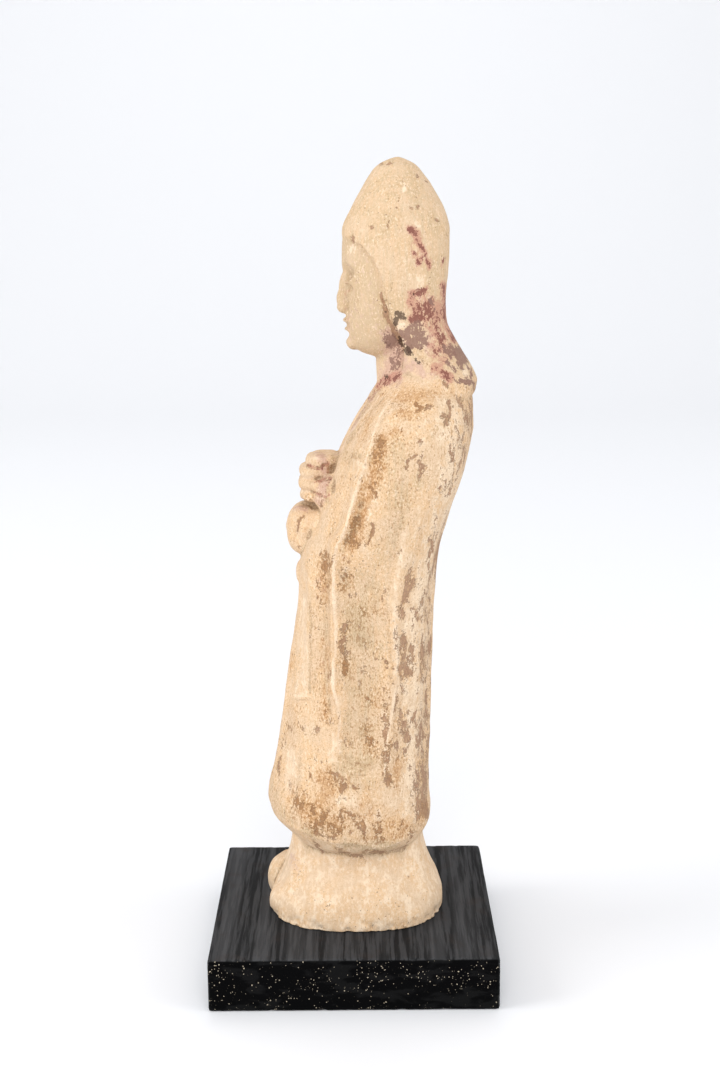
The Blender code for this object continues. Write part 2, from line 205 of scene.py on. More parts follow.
bend = np.linspace(0.0, math.pi / 2, 25)
profile = [(SWEEP_NEAR, 0.0), (0.0, 0.0)]
profile += [
    (SWEEP_BEND_AT - SWEEP_BEND_RADIUS * math.sin(turn), SWEEP_BEND_RADIUS * (1 - math.cos(turn)))
    for turn in bend
]
profile.append((SWEEP_BEND_AT - SWEEP_BEND_RADIUS, SWEEP_TOP))
sheet_points = np.array([(x, y, z) for x, z in profile for y in (-SWEEP_HALF_WIDTH, SWEEP_HALF_WIDTH)])
sheet_faces = [(2 * i, 2 * i + 1, 2 * i + 3, 2 * i + 2) for i in range(len(profile) - 1)]
sweep = shape("paper_sweep", sheet_points, sheet_faces, paper)

for name, place, aim, width, height, watts in SOFT_BOXES:
    lamp = bpy.data.lights.new(name, "AREA")
    lamp.shape = "RECTANGLE"
    lamp.size = width
    lamp.size_y = height
    lamp.energy = watts
    box = bpy.data.objects.new(name, lamp)
    bpy.context.scene.collection.objects.link(box)
    box.location = place
    box.rotation_euler = (Vector(place) - Vector(aim)).to_track_quat("Z", "Y").to_euler()

room = bpy.data.worlds.new("white_room")
bpy.context.scene.world = room
room.use_nodes = True
room_light = room.node_tree.nodes["Background"].inputs
room_light["Color"].default_value = ROOM_WHITE
room_light["Strength"].default_value = ROOM_BRIGHTNESS
bpy.context.scene.view_settings.view_transform = "Standard"

# Wood plinth.
# A square of softwood board, sawn on all sides and stained black. The grain runs from side to side,
# so the face at the figure's left is end grain, where pale unstained pores show through the stain.
WOOD_CELL = 0.0012
WOOD_EDGE_ROUND = 0.0009
SAW_DEPTH = 0.00012
CHIP_DEPTH = 0.0009
STAIN_DEEP = (0.0170, 0.0170, 0.0176)
STAIN_THIN = (0.050, 0.050, 0.052)
STAIN_RUBBED = (0.086, 0.086, 0.089)
STAIN_BROWN = (0.046, 0.034, 0.028)
# The end faces take the stain darker, and are painted darker still than the top, as painted shade.
END_BLACK_AND_SHADE = (0.0018, 0.0018, 0.0020)
END_RING = (0.0120, 0.0120, 0.0122)
BARE_PORE = (0.44, 0.38, 0.28)


def unevenness(places, size, seed):
    """Smooth random lumps of this size at each place, from -1 to 1."""
    cell = places / size + 11.7 * seed
    base = np.floor(cell).astype(np.int64)
    blend = cell - base
    blend = blend * blend * (3 - 2 * blend)
    total = np.zeros(len(places))
    for corner in range(8):
        steps = np.array([corner & 1, corner >> 1 & 1, corner >> 2 & 1])
        key = base + steps
        mixed = key[:, 0] * 73856093 ^ key[:, 1] * 19349663 ^ key[:, 2] * 83492791 ^ seed * 2654435761
        mixed = (mixed ^ mixed >> 13) * 1274126177 & 0xFFFFFFFF
        weight = np.prod(np.where(steps == 1, blend, 1 - blend), axis=1)
        total += weight * ((mixed >> 8 & 0xFFFF) / 32767.5 - 1)
    return total


def sawn_board(low, high):
    """Points and faces of a board from corner to corner, with worn edges and a sawn skin."""
    body = bmesh.new()
    bmesh.ops.create_cube(body, size=1.0)
    size = high - low
    for axis in range(3):
        for cut in np.arange(1, round(size[axis] / WOOD_CELL)) / round(size[axis] / WOOD_CELL) - 0.5:
            plane_at, plane_along = [0.0] * 3, [0.0] * 3
            plane_at[axis], plane_along[axis] = cut, 1.0
            everything = body.verts[:] + body.edges[:] + body.faces[:]
            bmesh.ops.bisect_plane(body, geom=everything, plane_co=plane_at, plane_no=plane_along)
    body.verts.index_update()
    points = np.array([vertex.co for vertex in body.verts]) * size + (low + high) / 2
    faces = [[vertex.index for vertex in face.verts] for face in body.faces]
    body.free()
    inner_low, inner_high = low + WOOD_EDGE_ROUND, high - WOOD_EDGE_ROUND
    inner = np.clip(points, inner_low, inner_high)
    outwards = points - inner
    outwards /= np.linalg.norm(outwards, axis=1, keepdims=True)
    grain = unevenness(points * (0.12, 1.0, 1.0), 0.0016, 3) + 0.6 * unevenness(points, 0.006, 4)
    chipped = np.clip(unevenness(points, 0.003, 5) - 0.45, 0.0, 1.0)
    at_edge = (np.abs(outwards) > 0.3).sum(axis=1) > 1
    sunk = SAW_DEPTH * (0.8 + 0.5 * grain).clip(0.0) + CHIP_DEPTH * chipped * at_edge
    return inner + outwards * (WOOD_EDGE_ROUND - sunk[:, None]), faces


wood = Finish("black_stained_wood")
wood_places = wood.node("TexCoord", output="Object")
facing = wood.node("NewGeometry", output="Normal")
facing_end = wood.node("SeparateXYZ", {}, {0: facing}, output=0)
end_grain = wood.step(facing_end * facing_end, 0.36, 0.81)
long_places = wood.stretched(wood_places, (0.05, 1.0, 1.0))
long_grain = wood.lumps(long_places, 0.0016, detail=5.0, roughness=0.65)
wide_grain = wood.lumps(wood.stretched(wood_places, (0.03, 1.0, 1.0)), 0.0060, detail=2.0)
rings = wood.lumps(wood.stretched(wood_places, (1.0, 0.35, 1.0)), 0.0035, detail=3.0, distortion=0.4)
pores = wood.node("TexVoronoi", {"feature": "F1"}, {"Vector": wood_places, "Scale": 1150.0})
chosen = wood.lumps(wood_places, 0.0011, detail=2.0)
patchy = wood.lumps(wood_places, 0.010, detail=2.0)
tooth = wood.lumps(wood_places, 0.0007, detail=3.0)
uneven = pores + (tooth - 0.5) * 0.9
speck = (1 - wood.step(uneven, 0.10, 0.24)) * wood.step(chosen + patchy * 0.55, 0.81, 0.87) * end_grain
stain = wood.blend(wood.step(long_grain, 0.43, 0.60), STAIN_DEEP, STAIN_THIN)
stain = wood.blend(wood.step(wide_grain, 0.44, 0.66) * 0.42, stain, STAIN_RUBBED)
stain = wood.blend(wood.step(patchy, 0.54, 0.74) * 0.30, stain, STAIN_BROWN)
# Painted shade: the end faces are made near black.
stain = wood.blend(end_grain, stain, END_BLACK_AND_SHADE)
stain = wood.blend(wood.step(rings, 0.48, 0.60) * end_grain * 0.45, stain, END_RING)
stain = wood.blend(speck, stain, BARE_PORE)
wood_height = long_grain * 0.6 + rings * end_grain * 0.5 + tooth * 0.3
wood_bump = wood.node("Bump", {}, {"Strength": 0.55, "Distance": 0.0003, "Height": wood_height})
set_surface(
    wood,
    Base_Color=stain,
    Roughness=0.62 - wood.step(wide_grain, 0.5, 0.7) * 0.10 + tooth * 0.08,
    Normal=wood_bump,
)
wood.surface.inputs["Specular IOR Level"].default_value = 0.025

wood_low, wood_high = (np.array(corner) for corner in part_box("wood_plinth"))
plinth = shape("stained_plinth", *sawn_board(wood_low, wood_high), wood)
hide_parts("wood_plinth")
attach(plinth, "root")

# Pottery figure.
# Hood, head, hands, cloak, underskirt and shoes were pressed in moulds as one hollow piece of clay,
# joined down both sides, wiped smooth and fired low. It stands on the cut rim of the underskirt.
# Sizes below are shares of the figure's height: depth along Y, height along Z, 0 at the rim.
SKIN_STEP = 0.0019
SKIN_SMOOTHING_ROUNDS = 5
RING_CORNERS = 160
RINGS_PER_HEIGHT = 600
MOST_TRIANGLES = 192000

# Stations: height, front, back, half width, squareness of the outline (2 is an ellipse).
CLOAK = (
    (0.100, -0.074, 0.086, 0.084, 2.3),
    (0.108, -0.080, 0.093, 0.102, 2.3),
    (0.1165, -0.0850, 0.0990, 0.1145, 2.3),
    (0.131, -0.1015, 0.1055, 0.1230, 2.3),
    (0.144, -0.1120, 0.1060, 0.1265, 2.3),
    (0.160, -0.1160, 0.1045, 0.1280, 2.3),
    (0.199, -0.108, 0.1035, 0.127, 2.3),
    (0.256, -0.0975, 0.105, 0.124, 2.3),
    (0.342, -0.0855, 0.1075, 0.123, 2.3),
    (0.425, -0.072, 0.110, 0.126, 2.3),
    (0.4925, -0.0665, 0.1175, 0.1315, 2.3),
    (0.549, -0.0445, 0.131, 0.137, 2.3),
    (0.6015, -0.0245, 0.148, 0.139, 2.3),
    (0.639, -0.0095, 0.157, 0.1355, 2.25),
    (0.6655, 0.004, 0.1615, 0.128, 2.2),
    (0.692, 0.0205, 0.161, 0.114, 2.1),
    (0.714, 0.0345, 0.157, 0.094, 2.05),
    (0.731, 0.045, 0.149, 0.0735, 2.0),
    (0.744, 0.0525, 0.141, 0.0545, 2.0),
)
UNDERSKIRT = (
    (-0.015, -0.1150, 0.1215, 0.1095, 2.5),
    (0.000, -0.1150, 0.1225, 0.1100, 2.5),
    (0.0115, -0.1135, 0.1228, 0.1092, 2.5),
    (0.030, -0.1075, 0.118, 0.105, 2.5),
    (0.0525, -0.097, 0.108, 0.098, 2.4),
    (0.075, -0.0895, 0.100, 0.091, 2.3),
    (0.098, -0.0845, 0.095, 0.087, 2.3),
    (0.135, -0.083, 0.094, 0.085, 2.3),
)
HOOD = (
    (0.699, 0.100, 0.157, 0.072, 2.0),
    (0.7065, 0.080, 0.1635, 0.085, 2.1),
    (0.719, 0.066, 0.166, 0.087, 2.1),
    (0.733, 0.055, 0.161, 0.0795, 2.1),
    (0.752, 0.045, 0.150, 0.0705, 2.1),
    (0.7745, 0.032, 0.137, 0.0670, 2.1),
    (0.797, 0.021, 0.1265, 0.0675, 2.1),
    (0.823, 0.0115, 0.1245, 0.070, 2.1),
    (0.8535, 0.000, 0.1275, 0.0715, 2.1),
    (0.8835, -0.0075, 0.1297, 0.0705, 2.1),
    (0.910, -0.008, 0.1297, 0.067, 2.05),
    (0.940, 0.0045, 0.122, 0.0585, 2.0),
    (0.964, 0.018, 0.109, 0.0450, 2.0),
    (0.981, 0.0285, 0.0965, 0.0335, 2.0),
    (0.9925, 0.0395, 0.0855, 0.0225, 2.0),
    (0.999, 0.0525, 0.0725, 0.010, 2.0),
    (1.0015, 0.0595, 0.0655, 0.003, 2.0),
)
HEAD = (
    (0.751, 0.032, 0.110, 0.026, 2.0),
    (0.757, 0.015, 0.112, 0.034, 2.0),
    (0.765, 0.005, 0.115, 0.0405, 2.0),
    (0.778, -0.001, 0.118, 0.0475, 2.0),
    (0.797, -0.003, 0.118, 0.0545, 2.05),
    (0.822, -0.003, 0.118, 0.0600, 2.1),
    (0.850, -0.0055, 0.118, 0.0615, 2.15),
    (0.872, -0.0085, 0.118, 0.0600, 2.15),
    (0.900, -0.0075, 0.115, 0.0550, 2.1),
    (0.930, 0.003, 0.108, 0.0440, 2.0),
)
NECK = (
    (0.690, 0.030, 0.130, 0.046, 2.0),
    (0.720, 0.036, 0.125, 0.044, 2.0),
    (0.745, 0.035, 0.120, 0.043, 2.0),
    (0.775, 0.036, 0.115, 0.046, 2.0),
)

# The hood's front edge: height and depth, from the neck up to the middle of the forehead.
HOOD_EDGE = (
    (0.720, 0.060),
    (0.740, 0.066),
    (0.766, 0.068),
    (0.784, 0.062),
    (0.797, 0.052),
    (0.826, 0.047),
    (0.856, 0.0385),
    (0.876, 0.029),
    (0.893, 0.015),
    (0.903, -0.007),
    (0.912, -0.060),
)
HOOD_EDGE_ROUNDING = (-0.004, 0.001)
HOOD_SINK_DEPTH = 0.022
HOOD_SINK_WIDTH_SHARE = 0.31

# Rounded lumps: middle (across, depth, height), half sizes, squareness.
LUMPS = {
    "hands": (
        ((0.003, -0.034, 0.5900), (0.034, 0.0230, 0.0370), 2.6),
        ((0.004, -0.034, 0.6165), (0.035, 0.0250, 0.0115), 2.3),
        ((0.001, -0.040, 0.6035), (0.040, 0.0275, 0.0105), 2.6),
        ((-0.001, -0.042, 0.5875), (0.041, 0.0275, 0.0105), 2.6),
        ((-0.002, -0.042, 0.5715), (0.039, 0.0245, 0.0110), 2.6),
    ),
    "cuff_and_knot": (
        ((0.000, -0.0500, 0.5250), (0.044, 0.0345, 0.0350), 2.8),
        ((0.002, -0.0640, 0.4660), (0.017, 0.0100, 0.0170), 2.2),
    ),
    "shoe_toes": (
        ((-0.038, -0.0860, 0.0160), (0.031, 0.0350, 0.0350), 2.3),
        ((0.036, -0.0810, 0.0130), (0.029, 0.0340, 0.0290), 2.3),
    ),
    "nose_lips_chin_eyes": (
        ((0.000, -0.0045, 0.8140), (0.0135, 0.0110, 0.0085), 2.0),
        ((0.000, -0.0060, 0.8245), (0.0082, 0.0098, 0.0160), 2.0),
        ((0.000, -0.0035, 0.8340), (0.0070, 0.0095, 0.0270), 2.0),
        ((0.000, -0.0005, 0.7965), (0.0185, 0.0080, 0.0048), 2.0),
        ((0.000, 0.0008, 0.7870), (0.0150, 0.0080, 0.0050), 2.0),
        ((0.000, 0.0065, 0.7700), (0.0160, 0.0105, 0.0110), 2.0),
        ((0.0235, 0.0050, 0.8480), (0.0145, 0.0110, 0.0075), 2.0),
        ((-0.0235, 0.0050, 0.8480), (0.0145, 0.0110, 0.0075), 2.0),
    ),
}

# Sleeves over the forearms, on each side: start and end (across, depth, height), radius at each end.
FOREARMS = (
    ((0.090, 0.040, 0.560), (0.040, -0.016, 0.575), 0.037, 0.030),
    ((0.088, 0.036, 0.532), (0.036, -0.024, 0.532), 0.034, 0.029),
)

# Folds pressed in from the sides: path of depth and height, half width, height of the fold.
SIDE_FOLDS = (
    (
        ((0.034, 0.675), (0.023, 0.631), (0.012, 0.605), (-0.002, 0.556), (-0.018, 0.525))
        + ((-0.0200, 0.470), (-0.0210, 0.337), (-0.0145, 0.318), (-0.021, 0.262)),
        0.007,
        0.0060,
    ),
    (((-0.050, 0.500), (-0.0515, 0.420), (-0.055, 0.369), (-0.059, 0.324)), 0.008, 0.0028),
    (((-0.034, 0.490), (-0.035, 0.400), (-0.038, 0.300)), 0.012, -0.0014),
    (
        ((0.096, 0.610), (0.074, 0.527), (0.0635, 0.499), (0.0555, 0.457), (0.051, 0.420))
        + ((0.0535, 0.375), (0.050, 0.320), (0.044, 0.240)),
        0.009,
        0.0038,
    ),
    (((0.004, 0.520), (0.012, 0.440), (0.014, 0.330), (0.015, 0.236)), 0.022, -0.0080),
    (((0.060, 0.560), (0.038, 0.500), (0.030, 0.450)), 0.014, -0.0030),
    (((0.062, 0.718), (0.033, 0.694), (0.003, 0.65), (-0.0125, 0.611), (-0.032, 0.562)), 0.0055, -0.0040),
    (((0.012, 0.590), (-0.006, 0.552), (-0.022, 0.530)), 0.008, -0.0030),
    (
        ((-0.038, 0.557), (-0.050, 0.559), (-0.063, 0.548), (-0.073, 0.525), (-0.066, 0.503)),
        0.0045,
        -0.0040,
    ),
    (((0.085, 0.330), (0.080, 0.250), (0.078, 0.190)), 0.018, -0.0025),
    (((-0.074, 0.112), (-0.082, 0.070), (-0.098, 0.034), (-0.112, 0.004)), 0.0070, 0.0030),
    (((-0.062, 0.110), (-0.070, 0.066), (-0.080, 0.020)), 0.0100, -0.0026),
    (((0.076, 0.112), (0.086, 0.072), (0.100, 0.040), (0.116, 0.012)), 0.0070, 0.0030),
    (((0.060, 0.110), (0.070, 0.060), (0.078, 0.012)), 0.0120, -0.0024),
    (((-0.006, 0.096), (0.002, 0.050), (-0.002, 0.002)), 0.0160, -0.0020),
)
# Folds seen from the front and from the back: path of across and height.
FRONT_FOLDS = (
    (((0.027, 0.480), (0.033, 0.400), (0.030, 0.320), (0.036, 0.230), (0.034, 0.130)), 0.0085, -0.0036),
    (((0.042, 0.480), (0.044, 0.350), (0.047, 0.230), (0.049, 0.140)), 0.0080, 0.0030),
    (((-0.025, 0.48), (-0.028, 0.39), (-0.033, 0.31), (-0.030, 0.22), (-0.035, 0.13)), 0.0085, -0.0036),
    (((-0.040, 0.480), (-0.042, 0.350), (-0.045, 0.230), (-0.047, 0.140)), 0.0080, 0.0030),
    (((0.002, 0.450), (0.000, 0.350), (0.003, 0.240), (0.001, 0.150)), 0.0100, -0.0035),
    (((0.000, 0.655), (0.018, 0.690), (0.030, 0.722)), 0.0050, -0.0040),
    (((-0.003, 0.650), (-0.018, 0.688), (-0.030, 0.722)), 0.0050, -0.0040),
    (((0.000, 0.640), (0.000, 0.668), (0.002, 0.700)), 0.0120, -0.0030),
    (((0.012, 0.085), (0.014, 0.040), (0.016, 0.010)), 0.0080, -0.0025),
    (((-0.012, 0.085), (-0.013, 0.040), (-0.014, 0.010)), 0.0080, -0.0025),
)
BACK_FOLDS = (
    (((0.000, 0.560), (0.002, 0.400), (-0.002, 0.180)), 0.0220, -0.0035),
    (((0.055, 0.600), (0.052, 0.400), (0.056, 0.180)), 0.0150, -0.0030),
    (((-0.054, 0.600), (-0.051, 0.400), (-0.056, 0.180)), 0.0150, -0.0030),
    (((0.028, 0.500), (0.027, 0.350), (0.029, 0.190)), 0.0090, 0.0025),
    (((-0.028, 0.500), (-0.026, 0.350), (-0.029, 0.190)), 0.0090, 0.0025),
)


def on_both_sides(creases):
    """Each crease at the figure's left, and the same one at its right."""
    return tuple(
        (tuple((side * across, height) for across, height in path), half_width, raised)
        for path, half_width, raised in creases
        for side in (1, -1)
    )


# The face is a plain, calm one. Brows, lids above and below, the wings of the nose, mouth, chin.
FACE_CREASES = on_both_sides(
    (
        (((0.009, 0.852), (0.024, 0.862), (0.040, 0.854)), 0.0065, -0.0060),
        (((0.010, 0.849), (0.0235, 0.8545), (0.038, 0.848)), 0.0032, -0.0046),
        (((0.011, 0.8440), (0.0235, 0.8385), (0.036, 0.8430)), 0.0032, -0.0042),
        (((0.0150, 0.8240), (0.0165, 0.8150), (0.0140, 0.8075)), 0.0032, -0.0026),
    )
) + (
    (((-0.021, 0.7925), (0.000, 0.7912), (0.021, 0.7925)), 0.0034, -0.0030),
    (((-0.012, 0.7800), (0.000, 0.7786), (0.012, 0.7800)), 0.0050, -0.0018),
)

# Marks on the figure's left side as the photograph shows them, in its pixels. Each is
# a stroke: half width, strength, then the points that it runs through, across and down.

# Strokes of dark red paint that is left.
RED_PAINT = (
    (4.6, 0.95, 411, 229, 415, 235, 417, 241), (3, 0.95, 416, 243, 421, 247, 425, 252),
    (1.5, 0.7, 409, 245, 409, 253), (3.2, 1, 414, 254, 420, 258), (2.6, 1, 416, 261, 418, 265),
    (3, 1, 427, 260, 429, 268), (1.8, 0.6, 442, 264, 445, 256), (5, 0.85, 413, 292, 424, 292),
    (7, 0.74, 412, 302, 416, 310, 424, 307, 434, 303, 438, 312), (5, 0.76, 413, 318, 440, 317),
    (10, 0.62, 431, 322, 436, 330, 446, 352), (7, 0.55, 434, 345, 440, 360),
    (4.5, 0.8, 444, 286, 444, 306, 447, 322, 454, 340), (5, 0.75, 433, 367, 441, 371, 450, 377),
    (4.5, 0.72, 378, 386, 388, 380, 398, 375), (2, 0.9, 387, 377, 388, 378), (1.6, 0.6, 346, 293, 349, 290),
    (1.7, 0.66, 309, 466, 318, 468, 327, 464), (1.6, 0.62, 315, 480, 327, 478),
    (1.6, 0.6, 313, 493, 325, 496), (1.5, 0.5, 327, 462, 329, 500),
)
# Strokes of purple-brown paint.
PURPLE_PAINT = (
    (8, 0.95, 449, 352, 458, 352, 462, 361), (2.6, 0.8, 455, 368, 457, 378), (4.5, 0.9, 463, 380, 470, 382),
    (2, 0.7, 470, 368, 472, 378), (8, 0.85, 406, 334, 416, 328, 422, 338, 413, 346),
    (4, 0.7, 432, 302, 436, 308), (8, 0.78, 391, 341, 398, 354, 393, 369),
    (3.5, 0.30, 377, 390, 366, 404, 356, 420, 346, 438), (5, 0.7, 446, 362, 452, 368),
)
# Strokes of dark crust.
DARK_CRUST = (
    (4.5, 1.0, 397, 314, 404, 316), (2.8, 0.9, 396, 320, 394, 325),
    (2.6, 0.85, 400, 338, 403, 346, 409, 353, 415, 358, 420, 363), (2.2, 0.8, 412, 291, 414, 294),
    (1.6, 1, 387, 376, 388, 377), (2.4, 0.7, 467, 392, 469, 392), (1.6, 0.55, 383, 296, 387, 312),
)
# Strokes of slip flaked off the brown clay.
BARE_CLAY = (
    (2.6, 1.15, 381, 293, 386, 310, 389, 322, 394, 332, 399, 339), (4, 0.6, 413, 352, 424, 352),
    (3, 0.7, 422, 357, 425, 362), (3, 0.45, 386, 330, 389, 344), (3, 0.95, 416, 402, 423, 409, 431, 407),
    (2.6, 0.95, 449, 402, 450, 416, 447, 423), (3, 0.9, 442, 416, 450, 419), (1.8, 0.8, 452, 430, 451, 446),
    (2.6, 0.75, 444, 381, 449, 386, 455, 394), (1.6, 0.8, 457, 395, 461, 405, 465, 411),
    (1.9, 0.75, 466, 408, 469, 424, 470, 440), (1.6, 0.6, 460, 420, 463, 432),
    (1.7, 0.6, 402, 430, 401, 441), (2.3, 0.9, 415, 457, 409, 461, 408, 469),
    (3.2, 0.8, 420, 463, 424, 467, 420, 474), (2.1, 0.8, 418, 441, 419, 442),
    (7, 0.46, 381, 441, 378, 462, 372, 485, 364, 500, 357, 525, 352, 543), (3, 0.8, 371, 486, 375, 497),
    (3, 0.62, 361, 478, 361, 494), (2.5, 0.85, 371, 523, 368, 535, 366, 546),
    (2.6, 0.75, 347, 541, 353, 539, 358, 545), (5, 0.62, 357, 520, 353, 535),
    (1.9, 0.8, 396, 555, 400, 551), (4.2, 0.85, 322, 556, 326, 557),
    (3.6, 0.85, 322, 567, 327, 567, 331, 562), (2.6, 0.7, 337, 546, 334, 558),
    (2.7, 0.75, 349, 562, 350, 563), (2, 0.75, 339, 571, 341, 572), (1.8, 0.6, 304, 563, 306, 564),
    (1.8, 0.65, 350, 578, 356, 576), (4.5, 0.66, 348, 581, 343, 590, 349, 595),
    (2.4, 0.6, 318, 582, 321, 598), (2.6, 0.75, 385, 592, 382, 601),
    (5, 0.56, 347, 622, 345, 640, 343, 657), (4, 0.52, 343, 664, 350, 672), (1.8, 0.65, 331, 664, 330, 680),
    (3.4, 0.55, 386, 664, 392, 668), (4, 0.66, 380, 685, 388, 697), (2, 0.75, 362, 695, 368, 700, 376, 709),
    (5, 0.58, 323, 703, 326, 714), (3.6, 0.55, 383, 704, 386, 722),
    (5.4, 0.95, 410, 576, 409, 590, 404, 600), (2.2, 0.8, 413, 570, 412, 577),
    (3, 0.85, 403, 604, 404, 618), (3, 0.8, 411, 603, 416, 614, 420, 621), (2.2, 0.85, 424, 591, 430, 603),
    (2, 0.75, 430, 606, 428, 622), (3.4, 0.9, 404, 638, 405, 652, 402, 660),
    (2.2, 0.85, 410, 644, 412, 655, 415, 664), (4, 0.92, 423, 653, 422, 668, 420, 680),
    (3, 0.9, 430, 634, 429, 650), (4.6, 0.95, 399, 667, 402, 676, 409, 672), (2.6, 0.9, 394, 684, 397, 701),
    (2.3, 0.8, 427, 690, 426, 702), (3.2, 0.85, 401, 716, 407, 712), (2.6, 0.85, 414, 712, 415, 722),
    (4.8, 0.9, 404, 722, 406, 731, 408, 740), (3.2, 0.85, 422, 728, 425, 739),
    (5, 0.62, 394, 744, 404, 750, 403, 759), (1.8, 0.7, 417, 743, 416, 751), (1.9, 0.7, 426, 748, 427, 762),
    (2.4, 0.8, 388, 716, 387, 735, 387, 752, 386, 776), (2.4, 0.6, 406, 760, 412, 768),
    (1.8, 0.8, 420, 768, 420, 775), (2, 0.7, 409, 788, 413, 801), (4.6, 0.88, 424, 803, 426, 816),
    (2.8, 0.7, 408, 800, 414, 813, 420, 826), (1.9, 0.8, 456, 463, 452, 480, 449, 495),
    (2.4, 0.75, 463, 452, 460, 466), (2.1, 0.85, 442, 486, 440, 492), (1.6, 0.7, 427, 500, 426, 506),
    (1.8, 0.8, 423, 532, 421, 540), (2.2, 0.85, 431, 540, 433, 549), (1.8, 0.8, 430, 552, 428, 559),
    (2.2, 0.8, 437, 560, 432, 573, 430, 582), (1.5, 0.7, 424, 575, 420, 583),
    (1.7, 0.6, 444, 445, 443, 452), (1.6, 0.7, 437, 511, 438, 513),
    (3.2, 0.8, 368, 724, 364, 731, 371, 740, 379, 742), (3, 0.62, 367, 749, 375, 752),
    (1.6, 0.7, 349, 738, 347, 746), (3, 0.75, 319, 725, 315, 736), (2, 0.6, 301, 727, 306, 733),
    (2.4, 0.56, 284, 734, 281, 752, 280, 771), (3, 0.88, 332, 772, 342, 774),
    (1.9, 0.75, 310, 772, 312, 779), (2.8, 0.9, 341, 792, 349, 785, 356, 788),
    (2.2, 0.7, 390, 776, 387, 786), (1.8, 0.75, 392, 784, 398, 788),
    (5, 0.45, 329, 779, 324, 786, 338, 790), (4.6, 0.5, 290, 784, 294, 796), (2, 0.6, 307, 786, 304, 793),
    (4, 0.72, 300, 799, 304, 812, 309, 819), (4, 0.66, 311, 801, 316, 812, 324, 819),
    (3, 0.42, 329, 806, 336, 812), (2.7, 0.88, 344, 808, 350, 812, 358, 817),
    (3.8, 0.8, 312, 826, 323, 824, 335, 827, 341, 836), (2.6, 0.7, 305, 824, 316, 833, 328, 838),
    (3.2, 0.8, 361, 823, 364, 832, 367, 840), (3.6, 0.78, 379, 829, 375, 840), (5, 0.5, 384, 820, 388, 826),
    (4.6, 0.6, 402, 821, 405, 831), (2.6, 0.55, 398, 838, 408, 836, 416, 829), (4, 0.4, 370, 803, 374, 808),
    (4, 0.42, 353, 826, 350, 834), (2.2, 0.85, 312, 838, 316, 845, 323, 851),
    (2.2, 0.9, 337, 848, 345, 853, 353, 856, 362, 855, 367, 851), (2.8, 0.95, 373, 853, 384, 853),
    (1.6, 0.7, 361, 861, 369, 859), (1.8, 0.6, 347, 861, 350, 865), (4, 0.45, 408, 842, 400, 858),
    (2, 0.9, 293, 873, 295, 875), (1.4, 0.8, 295, 881, 295, 882), (2.1, 0.85, 409, 876, 410, 879),
    (1.8, 0.6, 405, 889, 402, 893), (2, 0.9, 386, 916, 390, 914), (2.6, 0.5, 401, 926, 407, 925),
    (2, 0.5, 431, 905, 437, 913), (1.8, 0.85, 308, 466, 317, 467, 326, 463), (2.4, 0.8, 327, 463, 328, 470),
    (2.2, 0.8, 322, 479, 328, 478), (2.2, 0.8, 315, 492, 321, 495), (1.8, 0.7, 300, 501, 303, 505),
    (1.8, 0.6, 312, 508, 320, 509), (1.8, 0.8, 302, 516, 297, 527, 294, 541),
    (1.8, 0.6, 296, 546, 300, 550), (2.2, 0.55, 346, 460, 349, 468), (1.6, 0.5, 340, 575, 345, 576),
)
